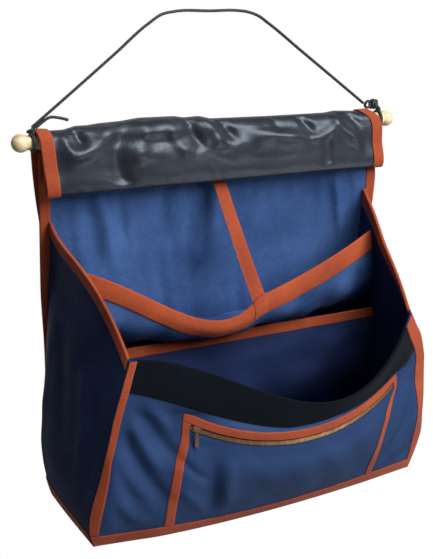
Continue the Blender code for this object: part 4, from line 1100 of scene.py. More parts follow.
    def strip(
        self, name: str, sheet: Sheet, rows: Pair, columns: Pair, finish: Finish,
        lower: float = CLOTHS.tape_inner, ply: float = CLOTHS.tape, room: float = CLOTHS.gap,
        lengthwise: bool = True, overhang: float = 0.0,
    ) -> Thing:
        """A flat tape sewn on a cloth, with thinned edges.

        Args:
            name: The piece's name.
            sheet: The cloth.
            rows: The first and last row.
            columns: The first and last column.
            finish: The tape's finish.
            lower: Its inner face's height over the cloth's middle.
            ply: Its thickness.
            room: How far its edges stay back.
            lengthwise: Whether the tape runs along the columns.
            overhang: How far it reaches past its last row.

        Returns:
            The piece.
        """
        top, foot = np.interp(rows, np.arange(sheet.rows), sheet.down) + np.array((room, overhang - room))
        left, right = np.interp(columns, np.arange(sheet.columns), sheet.along) + np.array((room, -room))
        r = self.ticks(sheet.down, sheet.row_at(top), sheet.row_at(foot), self.TAPE_STEP, self.RIM)
        c = self.ticks(sheet.along, sheet.column_at(left), sheet.column_at(right), self.TAPE_STEP, self.RIM)
        rr, cc = np.meshgrid(r, c, indexing="ij")
        u, v = sheet.metres(rr, cc)
        to_rows, to_columns = np.minimum(v - top, foot - v), np.minimum(u - left, right - u)
        thick = ply * self.thinned(np.minimum(to_rows, to_columns))
        uv = np.stack((u, to_rows) if lengthwise else (v, to_columns), axis=-1)
        return self.slab(name, sheet.place(rr, cc, lower), sheet.place(rr, cc, lower + thick), uv, finish)

    def folded(
        self, name: str, sheet: Sheet, edge: Edge, front: float | Callable[[Array], Array],
        behind: float | Callable[[Array], Array], span: Pair = (0.0, 0.0), half: float = CLOTHS.half,
        lines: Pair | None = None, finish: Finish = Finish.RUST,
    ) -> Thing:
        """A tape folded over an edge of a cloth.

        Args:
            name: The piece's name.
            sheet: The cloth.
            edge: Which edge.
            front: How far it reaches in on the outer face, also as a function of the line.
            behind: The same on the inner face.
            span: How far it stays back from the edge's two ends.
            half: Half the cloth's thickness.
            lines: The first and last line along the edge, or None for all.
            finish: The tape's finish.

        Returns:
            The piece.
        """
        upright, low = edge in (Edge.LEFT, Edge.RIGHT), edge in (Edge.TOP, Edge.LEFT)
        marks, across = (sheet.down, sheet.along) if upright else (sheet.along, sheet.down)
        last, far = len(marks) - 1, len(across) - 1
        ends = np.interp(lines or (0, last), np.arange(last + 1), marks) + np.array((span[0], -span[1]))
        s = self.ticks(marks, *np.interp(ends, marks, np.arange(last + 1)), self.TAPE_STEP, self.RIM)

        def edge_point(line: Array, steps: float) -> Array:
            """Points one or no grid line in from the edge."""
            other = np.full(np.shape(line), steps if low else far - steps)
            return sheet.base(line, other) if upright else sheet.base(other, line)

        def locate(line: Array, inward: Array) -> tuple[Array, Array]:
            """Turns distances in from the edge into rows and columns."""
            line, inward = np.broadcast_arrays(line, inward)
            depth = inward / np.linalg.norm(edge_point(line, 1.0) - edge_point(line, 0.0), axis=-1)
            other = depth if low else far - depth
            return (line, other) if upright else (other, line)

        def leaf(depth: Array, sign: float, layer: int) -> tuple[list[Array], list[Array]]:
            """One face's lines of points and their distances, from the rim to the fold."""
            count = max(3, round(float(depth.max()) / self.TAPE_STEP))
            shares = [x for x in np.linspace(1.0, 0.08, count) if x < 0.93]
            legs = [depth - x * self.RIM for x in self.RIM_SHARES] + [depth * x for x in (*shares, 0.0)]
            points = []
            for leg in legs:
                height = inner_face + layer * CLOTHS.tape * np.minimum(self.thinned(depth - leg), rim_share)
                points.append(sheet.place(*locate(s, np.maximum(leg, 0.0)), sign * height))
            return points, [np.stack((along, depth - leg), axis=-1) for leg in legs]

        along = np.interp(s, np.arange(last + 1), marks)
        rim_share = self.thinned(np.minimum(along - ends[0], ends[1] - along))
        origin = sheet.place(*locate(s, 0.0 * s))
        normal = sheet.normal(*locate(s, 0.0 * s))
        into = unit(sheet.base(*locate(s, 0.004 + 0.0 * s)) - edge_point(s, 0.0))
        depths = [d(s) if callable(d) else np.full(len(s), float(d)) for d in (front, behind)]
        inner_face = half + CLOTHS.tape_room
        grids = []
        for layer in (0, 1):
            (outside, near), (inside, away) = (leaf(d, sign, layer) for d, sign in zip(depths, (1.0, -1.0)))
            radius = inner_face + layer * CLOTHS.tape * rim_share[:, None]
            crown = [
                origin + normal * radius * math.sin(a) - into * (0.75 * radius * math.cos(a) + CLOTHS.gap)
                for a in np.radians(self.CROWN)
            ]
            grids.append(np.array(outside + crown + inside[::-1]))
        uv = np.array([*near, *[np.stack((along, depths[0]), axis=-1)] * len(crown), *away[::-1]])
        return self.slab(name, *grids, uv, finish)

    def tube(
        self, name: str, line: Array, radius: float, finish: Finish, braid: float = 0.0, closed: bool = False
    ) -> Thing:
        """A round cord along a line, with the relief of its braid.

        Args:
            name: The piece's name.
            line: The points of its centreline.
            radius: Its radius.
            finish: Its finish.
            braid: The share of its radius that the braid stands out.
            closed: Whether its end meets its start.

        Returns:
            The piece.
        """
        ahead = np.roll(line, -1, axis=0) - np.roll(line, 1, axis=0) if closed else np.gradient(line, axis=0)
        forward = unit(ahead)
        side, sides = np.cross(forward[0], point(0.13, 0.71, 0.37)), []
        for step in forward:
            side = unit(side - step * (side @ step))
            sides.append(side)
        n, count, run = len(line), self.CORD_SIDES, run_of(line)[:, None]
        turn = np.linspace(0.0, math.tau, count, endpoint=False)
        twist = run * (math.tau / (radius * 5.0))
        relief = np.cos(3 * turn + twist) * np.cos(3 * turn - twist)
        reach = radius * (1.0 + braid * (relief - 0.35))
        ring = (
            line[:, None] + np.array(sides)[:, None] * (reach * np.cos(turn))[..., None]
            + np.cross(forward, sides)[:, None] * (reach * np.sin(turn))[..., None]
        )
        faces = [
            (i * count + k, i * count + m, j * count + m, j * count + k)
            for i, j in ((i, (i + 1) % n) for i in range(n if closed else n - 1))
            for k, m in ((k, (k + 1) % count) for k in range(count))
        ]
        if not closed:
            faces += [tuple(range(count))[::-1], tuple(range((n - 1) * count, n * count))]
        uv = np.stack(np.broadcast_arrays(run, turn * radius), axis=-1).reshape(-1, 2)
        return self.piece(name, ring.reshape(-1, 3), faces, uv, finish)


# Shape of the bag


@dataclass
class BackPanel:
    """The back panel's shape; every drop is measured under the dowel's axis."""

    sizes: BackSizes = BackSizes()
    base_drop: float = FrontSizes.base_drop

    def setback(self, drop: Array) -> Array:
        """How far behind the dowel the panel hangs.

        Args:
            drop: The drop.

        Returns:
            The distance behind it.
        """
        top = DOWEL.sleeve_outer + CLOTHS.gap
        t = (np.asarray(drop, dtype=float) - top) / (self.base_drop - top)
        foot = self.sizes.foot_setback
        bend = (self.sizes.mid_setback - foot * 0.5) / 0.25
        return foot * t + bend * t * (1 - t)

    def half(self, drop: float) -> float:
        """Half the panel's width at a drop."""
        start, end = self.sizes.taper
        t = smooth((drop - start) / (end - start))
        return float(mix(self.sizes.width / 2, self.sizes.foot_width / 2, t))

    def columns(self, drop: float) -> list[float]:
        """The x of the panel's grid lines at a drop."""
        inner = self.half(drop) - self.sizes.binding
        return [-self.half(drop), *np.linspace(-inner, inner, self.sizes.columns - 1), self.half(drop)]

    def pull(self, x: float, drop: float) -> float:
        """How far the right edge is drawn forward.

        Args:
            x: The place across.
            drop: The drop.

        Returns:
            The distance forward.
        """
        columns, (start, end) = self.columns(drop), self.sizes.pull_drops
        share = max(x - columns[-3], 0.0) / (columns[-1] - columns[-3])
        return self.sizes.pull * share * float(sag((drop - start) / (end - start), self.sizes.pull_peak))

    def flange(self, drop: Array) -> Array:
        """The width of the panel beyond the gusset."""
        start, end = self.sizes.flange_drops
        return mix(self.sizes.flange, self.sizes.flange_foot, smooth((drop - start) / (end - start)))

    def sheet(self, gusset: Array, relief: Relief) -> Sheet:
        """The panel's surface.

        Args:
            gusset: A gusset's grid, whose rows it shares.
            relief: Its folds.

        Returns:
            The surface.
        """
        grid = [
            [point(x, float(self.setback(d)) - self.pull(x, d), -d) for x in self.columns(d)]
            for d in (DOWEL.sleeve_outer + CLOTHS.gap, 0.045, 0.08, *(-gusset[:, 0, 2]))
        ]
        return Sheet(np.array(grid), (0, 1, 0), relief, level_foot=True)


class ZipArc:
    """The zip's path: an arc about an axis that leans forward with the full panel."""

    def __init__(self, sizes: ZipSizes = ZipSizes()) -> None:
        """Works out the arc.

        Args:
            sizes: The zip's sizes.
        """
        self.sizes = sizes
        depth = math.hypot(sizes.arc_drop, sizes.arc_reach)
        self.radius = (sizes.half_chord**2 + depth**2) / (2 * depth)
        self.half_angle = math.asin(sizes.half_chord / self.radius)
        self.fall = point(0, -sizes.arc_reach, -sizes.arc_drop) / depth
        self.axis = np.cross(self.fall, point(1, 0, 0))
        low = point(sizes.centre_x, -sizes.low_reach, -sizes.low_drop)
        self.centre = low - self.fall * self.radius
        self.lean = math.atan2(sizes.arc_reach, sizes.arc_drop)

    def at(self, angle: Array, across: Array = 0.0, outward: Array = 0.0) -> Array:
        """Points beside the zip.

        Args:
            angle: Places along the arc.
            across: Distances across the zip, down the panel.
            outward: Distances out of the panel.

        Returns:
            The points.
        """
        angle = np.asarray(angle, dtype=float)[..., None]
        radial = self.fall * np.cos(angle) + point(1, 0, 0) * np.sin(angle)
        out = self.axis * math.cos(self.lean) + radial * math.sin(self.lean)
        down = radial * math.cos(self.lean) - self.axis * math.sin(self.lean)
        across, outward = (np.asarray(x, dtype=float)[..., None] for x in (across, outward))
        return self.centre + radial * self.radius + down * across + out * outward


class FrontPanel:
    """The front panel's shape, with grid lines along every tape and trim."""

    BAND_FOOT, TRIM_TOP, SLIT_TOP, SLIT_FOOT, TAPE_FOOT, STRIP_TOP, FOOT = 2, 3, 4, 5, 6, 11, 12
    LEFT_STRIP, TRIM_LEFT, SLIT_LEFT = 1, 3, 4
    SEEN_SLANT = 0.5

    def __init__(self, arc: ZipArc, sizes: FrontSizes = FrontSizes()) -> None:
        """Names the grid's columns.

        Args:
            arc: The zip's path.
            sizes: The panel's sizes.
        """
        self.arc = arc
        self.sizes = sizes
        self.slit_right = self.SLIT_LEFT + arc.sizes.columns
        self.trim_right = self.slit_right + 1
        self.right_strip = self.trim_right + 2
        self.right = self.trim_right + 3

    def side(self, t: float, side: int) -> Array:
        """A point of a side edge.

        Args:
            t: The share of the way down.
            side: -1 for the left edge and 1 for the right one.

        Returns:
            The point.
        """
        s = self.sizes
        top = point(side * s.top_width / 2, -s.top_reach, -s.top_drop)
        foot = point(*(s.foot_left if side < 0 else s.foot_right), -s.base_drop)
        made = mix(top, foot, t)
        shares, bulges = zip(*(s.right_bulges if side > 0 else s.left_bulges))
        made[0] += side * float(np.interp(t, shares, bulges))
        return made

    def _with_sides(self, row: list[Array], level: float) -> list[Array]:
        """Adds the three columns beyond the pocket at each end of a row.

        Args:
            row: The row's points over the pocket.
            level: The row's level.

        Returns:
            The whole row.
        """
        ends = []
        for side, inside in ((-1, row[0]), (1, row[-1])):
            corner = self.side(level, side)
            tape = corner + unit(inside - corner) * self.sizes.strip
            ends.append([corner, tape, mix(tape, inside, 0.5)])
        return [*ends[0], *row, *ends[1][::-1]]

    def _guided(self, guide: Array, level: float, drop: float, bulge: float, peak: float) -> list[Array]:
        """A row above the pocket: a sagging line between the side edges.

        Args:
            guide: The x of the columns to follow.
            level: The row's level.
            drop: How deep it sags.
            bulge: How far it stands out.
            peak: Where it does so most.

        Returns:
            The row.
        """
        left, right = (self.side(level, side) for side in (-1, 1))
        shares = (guide - guide[0]) / (guide[-1] - guide[0])
        shares[1] = self.sizes.strip / np.linalg.norm(right - left)
        shares[-2] = 1 - shares[1]
        return [mix(left, right, u) + point(0, -bulge, -drop) * sag(u, peak) for u in shares]

    def _foot(self, count: int) -> list[Array]:
        """The panel's foot.

        Args:
            count: The number of points over the slit.

        Returns:
            The row.
        """
        s, z, row = self.sizes, self.arc.sizes, []
        inner = np.linspace(z.foot_left + z.trim, z.foot_right - z.trim, count)
        for x in (z.foot_left, *inner, z.foot_right):
            u = (x - s.foot_left[0]) / (s.foot_right[0] - s.foot_left[0])
            y = mix(s.foot_left[1], s.foot_right[1], u) - s.foot_bulge * sag(u, s.foot_peak)
            row.append(point(x, y, -s.base_drop))
        return self._with_sides(row, 1.0)

    def grid(self) -> Array:
        """The panel's grid of points.

        Returns:
            The grid.
        """
        s, z = self.sizes, self.arc.sizes
        inner = np.linspace(-self.arc.half_angle, self.arc.half_angle, z.columns + 1)
        edge = z.trim / self.arc.radius
        angles = np.array([inner[0] - edge, *inner, inner[-1] + edge])
        length = np.linalg.norm(self.side(1, -1) - self.side(0, -1))
        band, strip, slit = s.band_height / length, 1 - s.strip / length, z.slit / 2
        start = s.zip_levels[-1]
        zip_rows = [
            self._with_sides(list(self.arc.at(angles, np.full(len(angles), d))), level)
            for d, level in zip((-slit - z.trim, -slit, slit, slit + z.tape), s.zip_levels)
        ]
        guide = np.array(zip_rows[0])[:, 0]
        mouth = self._guided(guide, 0, s.mouth_sag, s.mouth_bulge, s.mouth_peak)
        band_foot = self._guided(guide, band, s.band_sag, s.band_bulge, s.band_peak)
        for c in range(self.TRIM_LEFT, self.trim_right + 1):
            lift = zip_rows[0][c][2] + s.band_trim_room - band_foot[c][2]
            band_foot[c] = band_foot[c] + point(0, 0, max(lift, 0.0))
        foot = self._foot(z.columns + 1)
        belly = [
            self._belly(zip_rows[3], foot, level, (level - start) / (1 - start))
            for level in (*s.belly_levels, strip)
        ]
        middle = [mix(a, b, 0.5) for a, b in zip(mouth, band_foot)]
        return self._straighten(np.array([mouth, middle, band_foot, *zip_rows, *belly, foot]))

    def _straighten(self, grid: Array) -> Array:
        """Moves the columns beside the pocket so that its side trims run straight.

        Args:
            grid: The panel's grid.

        Returns:
            The grid, with the same surface.
        """
        made = grid.copy()
        hold = {self.SLIT_TOP: 0.35, self.SLIT_FOOT: 0.6}
        sides = ((self.TRIM_LEFT, 1, self.sizes.trim_shift), (self.trim_right, -1, 0.0))
        for trim, way, move in sides:
            top, foot = grid[self.TRIM_TOP, trim] + point(move, 0, 0), grid[self.FOOT, trim]
            for r in range(self.TRIM_TOP, self.FOOT):
                share = (grid[r, trim, 2] - top[2]) / (foot[2] - top[2])
                chord = mix(top, foot, share)
                wanted = chord[0] + self.SEEN_SLANT * (grid[r, trim, 1] - chord[1])
                shift = (wanted - grid[r, trim, 0]) * (1.0 if move else hold.get(r, 1.0))
                row = grid[r]
                for step, part in ((-1, 0.5), (0, 1.0), (1, 1.0), (2, 0.75), (3, 0.5), (4, 0.25)):
                    c = trim + way * step
                    if r in hold and step > 0:
                        part = 0.4 if step == 1 else 0.0
                    x = row[c, 0] + shift * part
                    if move and step == 1 and r > self.SLIT_FOOT:
                        x += self.sizes.trim_extra * (r - self.TAPE_FOOT) / (self.FOOT - self.TAPE_FOOT)
                    made[r, c] = [np.interp(x, row[:, 0], row[:, k]) for k in range(3)]
        for r in range(1, self.FOOT):
            waist = self.sizes.right_strip_waist * math.sin(math.pi * r / self.FOOT)
            x = grid[r, self.right_strip, 0] - waist
            made[r, self.right_strip] = [np.interp(x, grid[r, :, 0], grid[r, :, k]) for k in range(3)]
        return made

    def _belly(self, tops: list[Array], foot: list[Array], level: float, t: float) -> list[Array]:
        """A row of the full belly under the zip.

        Args:
            tops: The row where the belly starts.
            foot: The panel's foot.
            level: The row's level on the side edges.
            t: The share of the way from the top row to the foot.

        Returns:
            The row.
        """
        s, last, row = self.sizes, len(foot) - 1, []
        for c, (top, low) in enumerate(zip(tops, foot)):
            height = float(np.linalg.norm(low - top))
            lean = point(low[0] - top[0], -s.belly_lean * height, -height)
            tuck = point(low[0] - top[0], s.belly_tuck * height, -height)
            made = (
                top * (2 * t**3 - 3 * t**2 + 1) + lean * (t**3 - 2 * t**2 + t)
                + low * (3 * t**2 - 2 * t**3) + tuck * (t**3 - t**2)
            )
            nearest = min(c, last - c)
            if nearest < self.TRIM_LEFT:
                free = mix(self.side(level, -1 if c < last / 2 else 1), made, nearest / self.TRIM_LEFT)
                made = free if nearest == 0 else mix(free, made, 0.5)
            row.append(made)
        return row


class Gusset:
    """A gusset's shape, between the back panel and the front panel."""

    def __init__(
        self, side: int, front: Array, back: BackPanel, panel: FrontPanel, sizes: GussetSizes = GussetSizes()
    ) -> None:
        """Works out the grid.

        Args:
            side: -1 for the left one and 1 for the right one.
            front: The front panel's grid.
            back: The back panel's shape.
            panel: The front panel's shape.
            sizes: The gussets' sizes.
        """
        self.side = side
        s, left = panel.sizes, side < 0
        column, neighbour = (0, 1) if left else (-1, -2)
        arch = sizes.arch_left if left else sizes.arch_right
        shares, bulges = zip(*(sizes.left_bulges if left else sizes.right_bulges))
        places, out, up = zip(*(sizes.left_lean if left else sizes.right_lean))
        w = np.linspace(0.0, 1.0, sizes.columns)
        lean_x, lean_z = side * np.interp(w, places, out), np.interp(w, places, up)
        grid = []
        for corner, beside in zip(front[:, column], front[:, neighbour]):
            t = (corner[2] + s.top_drop) / (s.top_drop - s.base_drop)
            run = beside - corner
            behind = CLOTHS.half + CLOTHS.seam_room + CLOTHS.cloth * abs(run[1] / run[0])
            front_edge = corner + point(-side * CLOTHS.half, behind, 0)
            drop = float(mix(sizes.top_drop, s.base_drop, t))
            x = side * (back.half(drop) - float(back.flange(drop)))
            y = float(back.setback(drop)) - back.pull(x, drop) - CLOTHS.half - CLOTHS.seam_room
            line = mix(point(x, y, -drop), front_edge, w[:, None])
            line[:, 0] += side * float(np.interp(t, shares, bulges)) * sag(w, sizes.bulge_peak)
            line[:, 0] += lean_x * (1 - t) ** 2
            line[:, 2] += (arch * sag(w, sizes.arch_peak) + lean_z) * (1 - t) ** 2
            grid.append(line)
        self.grid = np.array(grid)


# Sub-assemblies


class Bag:
    """The bag's walls, base and bindings."""

    BASE_STEP = 0.008

    def __init__(self, tailor: Tailor) -> None:
        """Works out the surfaces.

        Args:
            tailor: Makes the pieces.
        """
        self.tailor = tailor
        self.arc = ZipArc()
        self.back_shape = BackPanel()
        self.panel = FrontPanel(self.arc)
        grid = self.panel.grid()
        self.front = Sheet(grid, (0, -1, 0), self._front_folds, level_foot=True)
        shapes = [Gusset(side, grid, self.back_shape, self.panel) for side in (-1, 1)]
        self.gussets = [
            Sheet(g.grid, (g.side, 0, 0), self._gusset_folds(g.side), level_foot=True) for g in shapes
        ]
        self.back = self.back_shape.sheet(shapes[0].grid, self._back_folds)
        sizes, front, panel = self.panel.sizes, self.front, self.panel
        self.foot_row = float(front.row_at(front.down[panel.STRIP_TOP] - sizes.foot_rise))
        self.right_line = float(front.column_at(front.along[panel.right_strip] - sizes.right_strip_extra))

    FRONT_CREASES = (
        Crease((-250, -338, -222, -388, -196, -430, -160, -470), -6, 10, 1.5),
        Crease((-236, -330, -204, -380, -180, -420), 4.5, 9),
        Crease((-268, -380, -239, -448, -208, -504, -180, -540), -6.5, 11, 1.5),
        Crease((-252, -372, -226, -430, -196, -486), 4.5, 9),
        Crease((-282, -430, -255, -492, -215, -545), -5.5, 10, 1.4),
        Crease((-270, -500, -240, -550, -200, -575), 4, 10),
        Crease((-119, -445, -124, -487, -114, -549, -100, -582), -6.5, 13, 1.3),
        Crease((-96, -460, -102, -505, -92, -560), 4, 12),
        Crease((-175, -450, -153, -479, -126, -502), -3.5, 6),
        Crease((-180, -500, -150, -530, -130, -565), 3.5, 10),
        Crease((-60, -500, -30, -545, 10, -580), -3, 18),
        Crease((110, -470, 60, -540, 30, -585), 3, 20),
        Crease((276, -400, 262, -465, 222, -530, 200, -580), -4, 8, 1.4),
        Crease((292, -430, 276, -485, 244, -540, 220, -580), 4, 7),
        Crease((300, -480, 280, -530, 252, -580), -3.5, 7),
        Crease((262, -350, 256, -400, 236, -450), 3, 8),
    )

    def _front_folds(self, points: Array, u: Array, v: Array) -> Array:
        """The front panel's folds.

        Args:
            points: Points of the smooth panel.
            u: Distances along it.
            v: Distances down it.

        Returns:
            Heights.
        """
        x, z = points[..., 0], points[..., 2]
        width, height = self.front.along[-1], self.front.down[-1]
        edge = smooth((np.minimum(u, width - u) - 0.01) / 0.03) * smooth((height - v - 0.012) / 0.035)
        near_zip = smooth((v - self.front.down[self.panel.SLIT_FOOT]) / 0.04)
        near_zip = np.maximum(near_zip, smooth((np.abs(x - 0.02) - 0.185) / 0.03))
        total = folds_at(self.FRONT_CREASES, x, z)
        total = total + 0.0016 * ripple(x, z, 3, 0.075)
        band = smooth((v - self.front.down[self.panel.BAND_FOOT]) / 0.02)
        return total * edge * near_zip * band

    GUSSET_CREASES = (
        Crease((-110, -300, -120, -400, -118, -520), 3, 14),
        Crease((-140, -330, -150, -420, -146, -540), -3, 12),
        Crease((-30, -230, -52, -360, -60, -500), -3, 20),
    )

    def _gusset_folds(self, side: int) -> Relief:
        """A gusset's folds.

        Args:
            side: -1 for the left one and 1 for the right one.

        Returns:
            The function that gives their heights.
        """

        def folds(points: Array, u: Array, v: Array) -> Array:
            """Heights from points and distances."""
            y, z = points[..., 1], points[..., 2]
            width, height = self.gussets[side > 0].size()
            edge = smooth((np.minimum(u, width - u) - 0.008) / 0.035)
            edge = edge * smooth((v - 0.02) / 0.05) * smooth((height - v - 0.012) / 0.04)
            total = folds_at(self.GUSSET_CREASES, y, z) + 0.001 * ripple(y, z, 7 + side, 0.08)
            return total * edge

        return folds

    BACK_CREASES = (
        Crease((-218, -60, -204, -105, -194, -140, -192, -215), 5.5, 9, 1.5),
        Crease((-236, -60, -224, -110, -214, -160, -210, -240), -4, 11),
        Crease((-176, -70, -167, -136, -160, -190), -4, 9),
        Crease((-106, -70, -94, -130, -90, -200), -3.5, 12),
        Crease((-72, -60, -62, -140, -64, -230), 3.5, 14),
        Crease((4, -85, -9, -155, -21, -200, -34, -260), 6.5, 11, 1.4),
        Crease((226, -80, 244, -169, 255, -225), 4, 7),
        Crease((250, -75, 262, -140, 272, -200), -3.5, 7),
        Crease((120, -80, 150, -88, 190, -84), 2, 6),
        Crease((90, -90, 100, -140, 98, -190), -2.5, 14),
    )

    def _back_folds(self, points: Array, u: Array, v: Array) -> Array:
        """The back panel's soft upright folds.

        Args:
            points: Points of the smooth panel.
            u: Distances along it; not used.
            v: Distances down it; not used.

        Returns:
            Heights.
        """
        x, z = points[..., 0], points[..., 2]
        edge = smooth((self.back_shape.sizes.width / 2 - np.abs(x) - 0.02) / 0.04)
        edge = edge * smooth((-z - 0.03) / 0.05) * smooth((z + 0.57) / 0.05)
        sway = x + 0.012 * np.sin(z * 21.0 + x * 9.0)
        folds = 0.0019 * np.sin(sway * math.tau / 0.052 + 0.6)
        folds = folds + 0.0012 * np.sin(sway * math.tau / 0.031 + 2.0)
        strength = 0.55 + 0.45 * ripple(x, z * 0.3, 11, 0.16)
        return (folds * strength * 0.7 - folds_at(self.BACK_CREASES, x, z)) * edge

    def build(self) -> None:
        """Makes every piece."""
        made, panel, front, back = self.tailor, self.panel, self.front, self.back
        cloths = {
            "front_panel": (front, Finish.BLUE, "stretched", "front_left", "front_right", "base_front"),
            "back_panel": (back, Finish.BLUE, "hung", "back_left", "back_right", "base_back"),
            # The gussets wear the blue cloth with painted shade.
            "side_gusset_left": (self.gussets[0], Finish.SHADED, "stretched", "mouth_left", "base_left"),
            "side_gusset_right": (self.gussets[1], Finish.SHADED, "stretched", "mouth_right", "base_right"),
        }
        openings = {"front_panel": (panel.SLIT_TOP, panel.SLIT_FOOT, panel.SLIT_LEFT, panel.slit_right)}
        walls = {
            key: made.panel(f"{key}_cloth", sheet, finish, opening=openings.get(key))
            for key, (sheet, finish, *_) in cloths.items()
        }
        base = self._base()
        high, low = (0, self.foot_row), (self.foot_row, panel.FOOT)
        side_low, depth = (self.foot_row - 0.06, panel.FOOT), (0, self.gussets[0].columns - 1)
        cover = panel.sizes.base_ply + 3 * CLOTHS.gap
        sewn = {
            f"binding_{name}": made.strip(
                f"binding_{name}_tape", sheet, rows, columns, Finish.RUST, lengthwise=wide,
                overhang=cover if wide else 0.0,
            )
            for name, sheet, rows, columns, wide in (
                ("front_left", front, high, (0, panel.LEFT_STRIP), False),
                ("front_right", front, high, (self.right_line, panel.right), False),
                ("base_front", front, low, (0, panel.right), True),
                ("base_left", self.gussets[0], side_low, depth, True),
                ("base_right", self.gussets[1], side_low, depth, True),
                ("base_back", back, (back.rows - 2, back.rows - 1), (0, back.columns - 1), True),
            )
        }
        band = made.folded(
            "closure_band_front_strip", front, Edge.TOP, self._band_depth, 0.006, (-CLOTHS.gap, -CLOTHS.gap),
            lines=(panel.LEFT_STRIP + 0.03, self.right_line - 0.03), finish=Finish.STRIP,
        )
        for key, sheet in zip(("binding_mouth_left", "binding_mouth_right"), self.gussets):
            outside, inside = GussetSizes.mouth_binding, GussetSizes.mouth_binding_inside
            sewn[key] = made.folded(f"{key}_tape", sheet, Edge.TOP, outside, inside, (0.002, 0.002))
        for key, edge in (("binding_back_left", Edge.LEFT), ("binding_back_right", Edge.RIGHT)):
            sewn[key] = made.folded(
                f"{key}_tape", back, edge, self.back_shape.sizes.binding, self._covered,
                (CLOTHS.gap, CLOTHS.gap), lines=(0, back.rows - 2),
            )
        for key, obj in {**sewn, "closure_band_front": band}.items():
            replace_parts(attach(obj, "bag"), key)
        for key, (sheet, _, held, *tapes) in cloths.items():
            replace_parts(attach(walls[key], "bag"), key)
            sheet.size()
            sheet.area()
        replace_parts(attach(base, "bag"), "base_panel")

    def _band_depth(self, line: Array) -> Array:
        """How far down the closing band reaches from the mouth, at columns."""
        rows = [self.front.base(np.full(line.shape, float(r)), line) for r in (0, 1)]
        return self.panel.BAND_FOOT * np.linalg.norm(rows[1] - rows[0], axis=-1) - 2 * CLOTHS.gap

    def _covered(self, line: Array) -> Array:
        """How far a back binding reaches in, in front of the panel, at rows."""
        flange = self.back_shape.flange(-self.back.base(line, np.zeros(line.shape))[..., 2])
        return np.minimum(flange - CLOTHS.half - CLOTHS.tape - 3 * CLOTHS.gap, self.back_shape.sizes.binding)

    def _base(self) -> Thing:
        """The base, cut to the walls' outer faces.

        Returns:
            The piece.
        """
        front, panel = self.front, self.panel
        last = float(front.rows - 1)
        c = Tailor.ticks(front.along, 0, front.columns - 1, self.BASE_STEP)
        near = front.place(np.full(len(c), last), c, CLOTHS.half)
        walls = [g.place(np.full(9, last), np.arange(9.0), CLOTHS.half) for g in self.gussets]
        share = (near[:, 0] - near[0, 0]) / (near[-1, 0] - near[0, 0])
        y = float(self.back_shape.setback(panel.sizes.base_drop)) + CLOTHS.half
        far = np.stack((mix(walls[0][0, 0], walls[1][0, 0], share), np.full(len(c), y), near[:, 2]), axis=1)
        rows = [mix(near, far, t) for t in np.linspace(0, 1, 30)]
        for row in rows:
            ends = [float(np.interp(row[0, 1], wall[::-1, 1], wall[::-1, 0])) for wall in walls]
            row[:, 0] = ends[0] + (row[:, 0] - row[0, 0]) / (row[-1, 0] - row[0, 0]) * (ends[1] - ends[0])
        grid = np.array(rows)
        top = grid + point(0, 0, -CLOTHS.gap)
        low = top - point(0, 0, panel.sizes.base_ply)
        return self.tailor.slab("base_panel_cloth", low, top, grid[..., :2], Finish.BLUE)


@dataclass
class ZipPocket:
    """The zip pocket's trims, tapes and lining on the front panel."""

    tailor: Tailor
    bag: Bag

    def build(self) -> None:
        """Makes every piece."""
        made, front, p = self.tailor, self.bag.front, self.bag.panel
        sides = (p.SLIT_TOP, self.bag.foot_row)
        for name, rows, columns, lengthwise in (
            ("pocket_trim_top", (p.TRIM_TOP, p.SLIT_TOP), (p.TRIM_LEFT, p.trim_right), True),
            ("pocket_trim_left", sides, (p.TRIM_LEFT, p.SLIT_LEFT), False),
            ("pocket_trim_right", sides, (p.slit_right, p.trim_right), False),
        ):
            obj = made.strip(f"{name}_tape", front, rows, columns, Finish.RUST, lengthwise=lengthwise)
            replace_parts(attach(obj, "bag"), name)
        arc, z = self.bag.arc, self.bag.arc.sizes
        angles = np.linspace(-arc.half_angle, arc.half_angle, 150)
        behind = -CLOTHS.half - CLOTHS.gap
        for name, side in (("zip_tape_upper", -1), ("zip_tape_lower", 1)):
            across = np.linspace(CLOTHS.gap, z.slit / 2 + z.tape - 2 * z.trim_edge, 9)
            aa, dd = np.meshgrid(angles, across, indexing="ij")
            faces = (behind - z.tape_ply, behind)
            inner, outer = (arc.at(aa, side * dd, np.full(aa.shape, y)) for y in faces)
            uv = np.stack((aa * arc.radius, dd), axis=-1)
            obj = made.slab(f"{name}_cloth", inner, outer, uv, Finish.ZIP_TAPE)
            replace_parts(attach(obj, "bag"), name)
        rows = (p.TAPE_FOOT + 0.05, p.STRIP_TOP - 0.2)
        columns = (p.SLIT_LEFT + 0.2, p.slit_right - 0.2)
        lining = made.strip(
            "zip_pocket_lining_cloth", front, rows, columns, Finish.LINING,
            lower=behind - CLOTHS.gap - z.lining_ply, ply=z.lining_ply, room=0.0,
        )
        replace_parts(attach(lining, "bag"), "zip_pocket_lining")
        width = np.ptp(np.interp(columns, np.arange(front.columns), front.along))


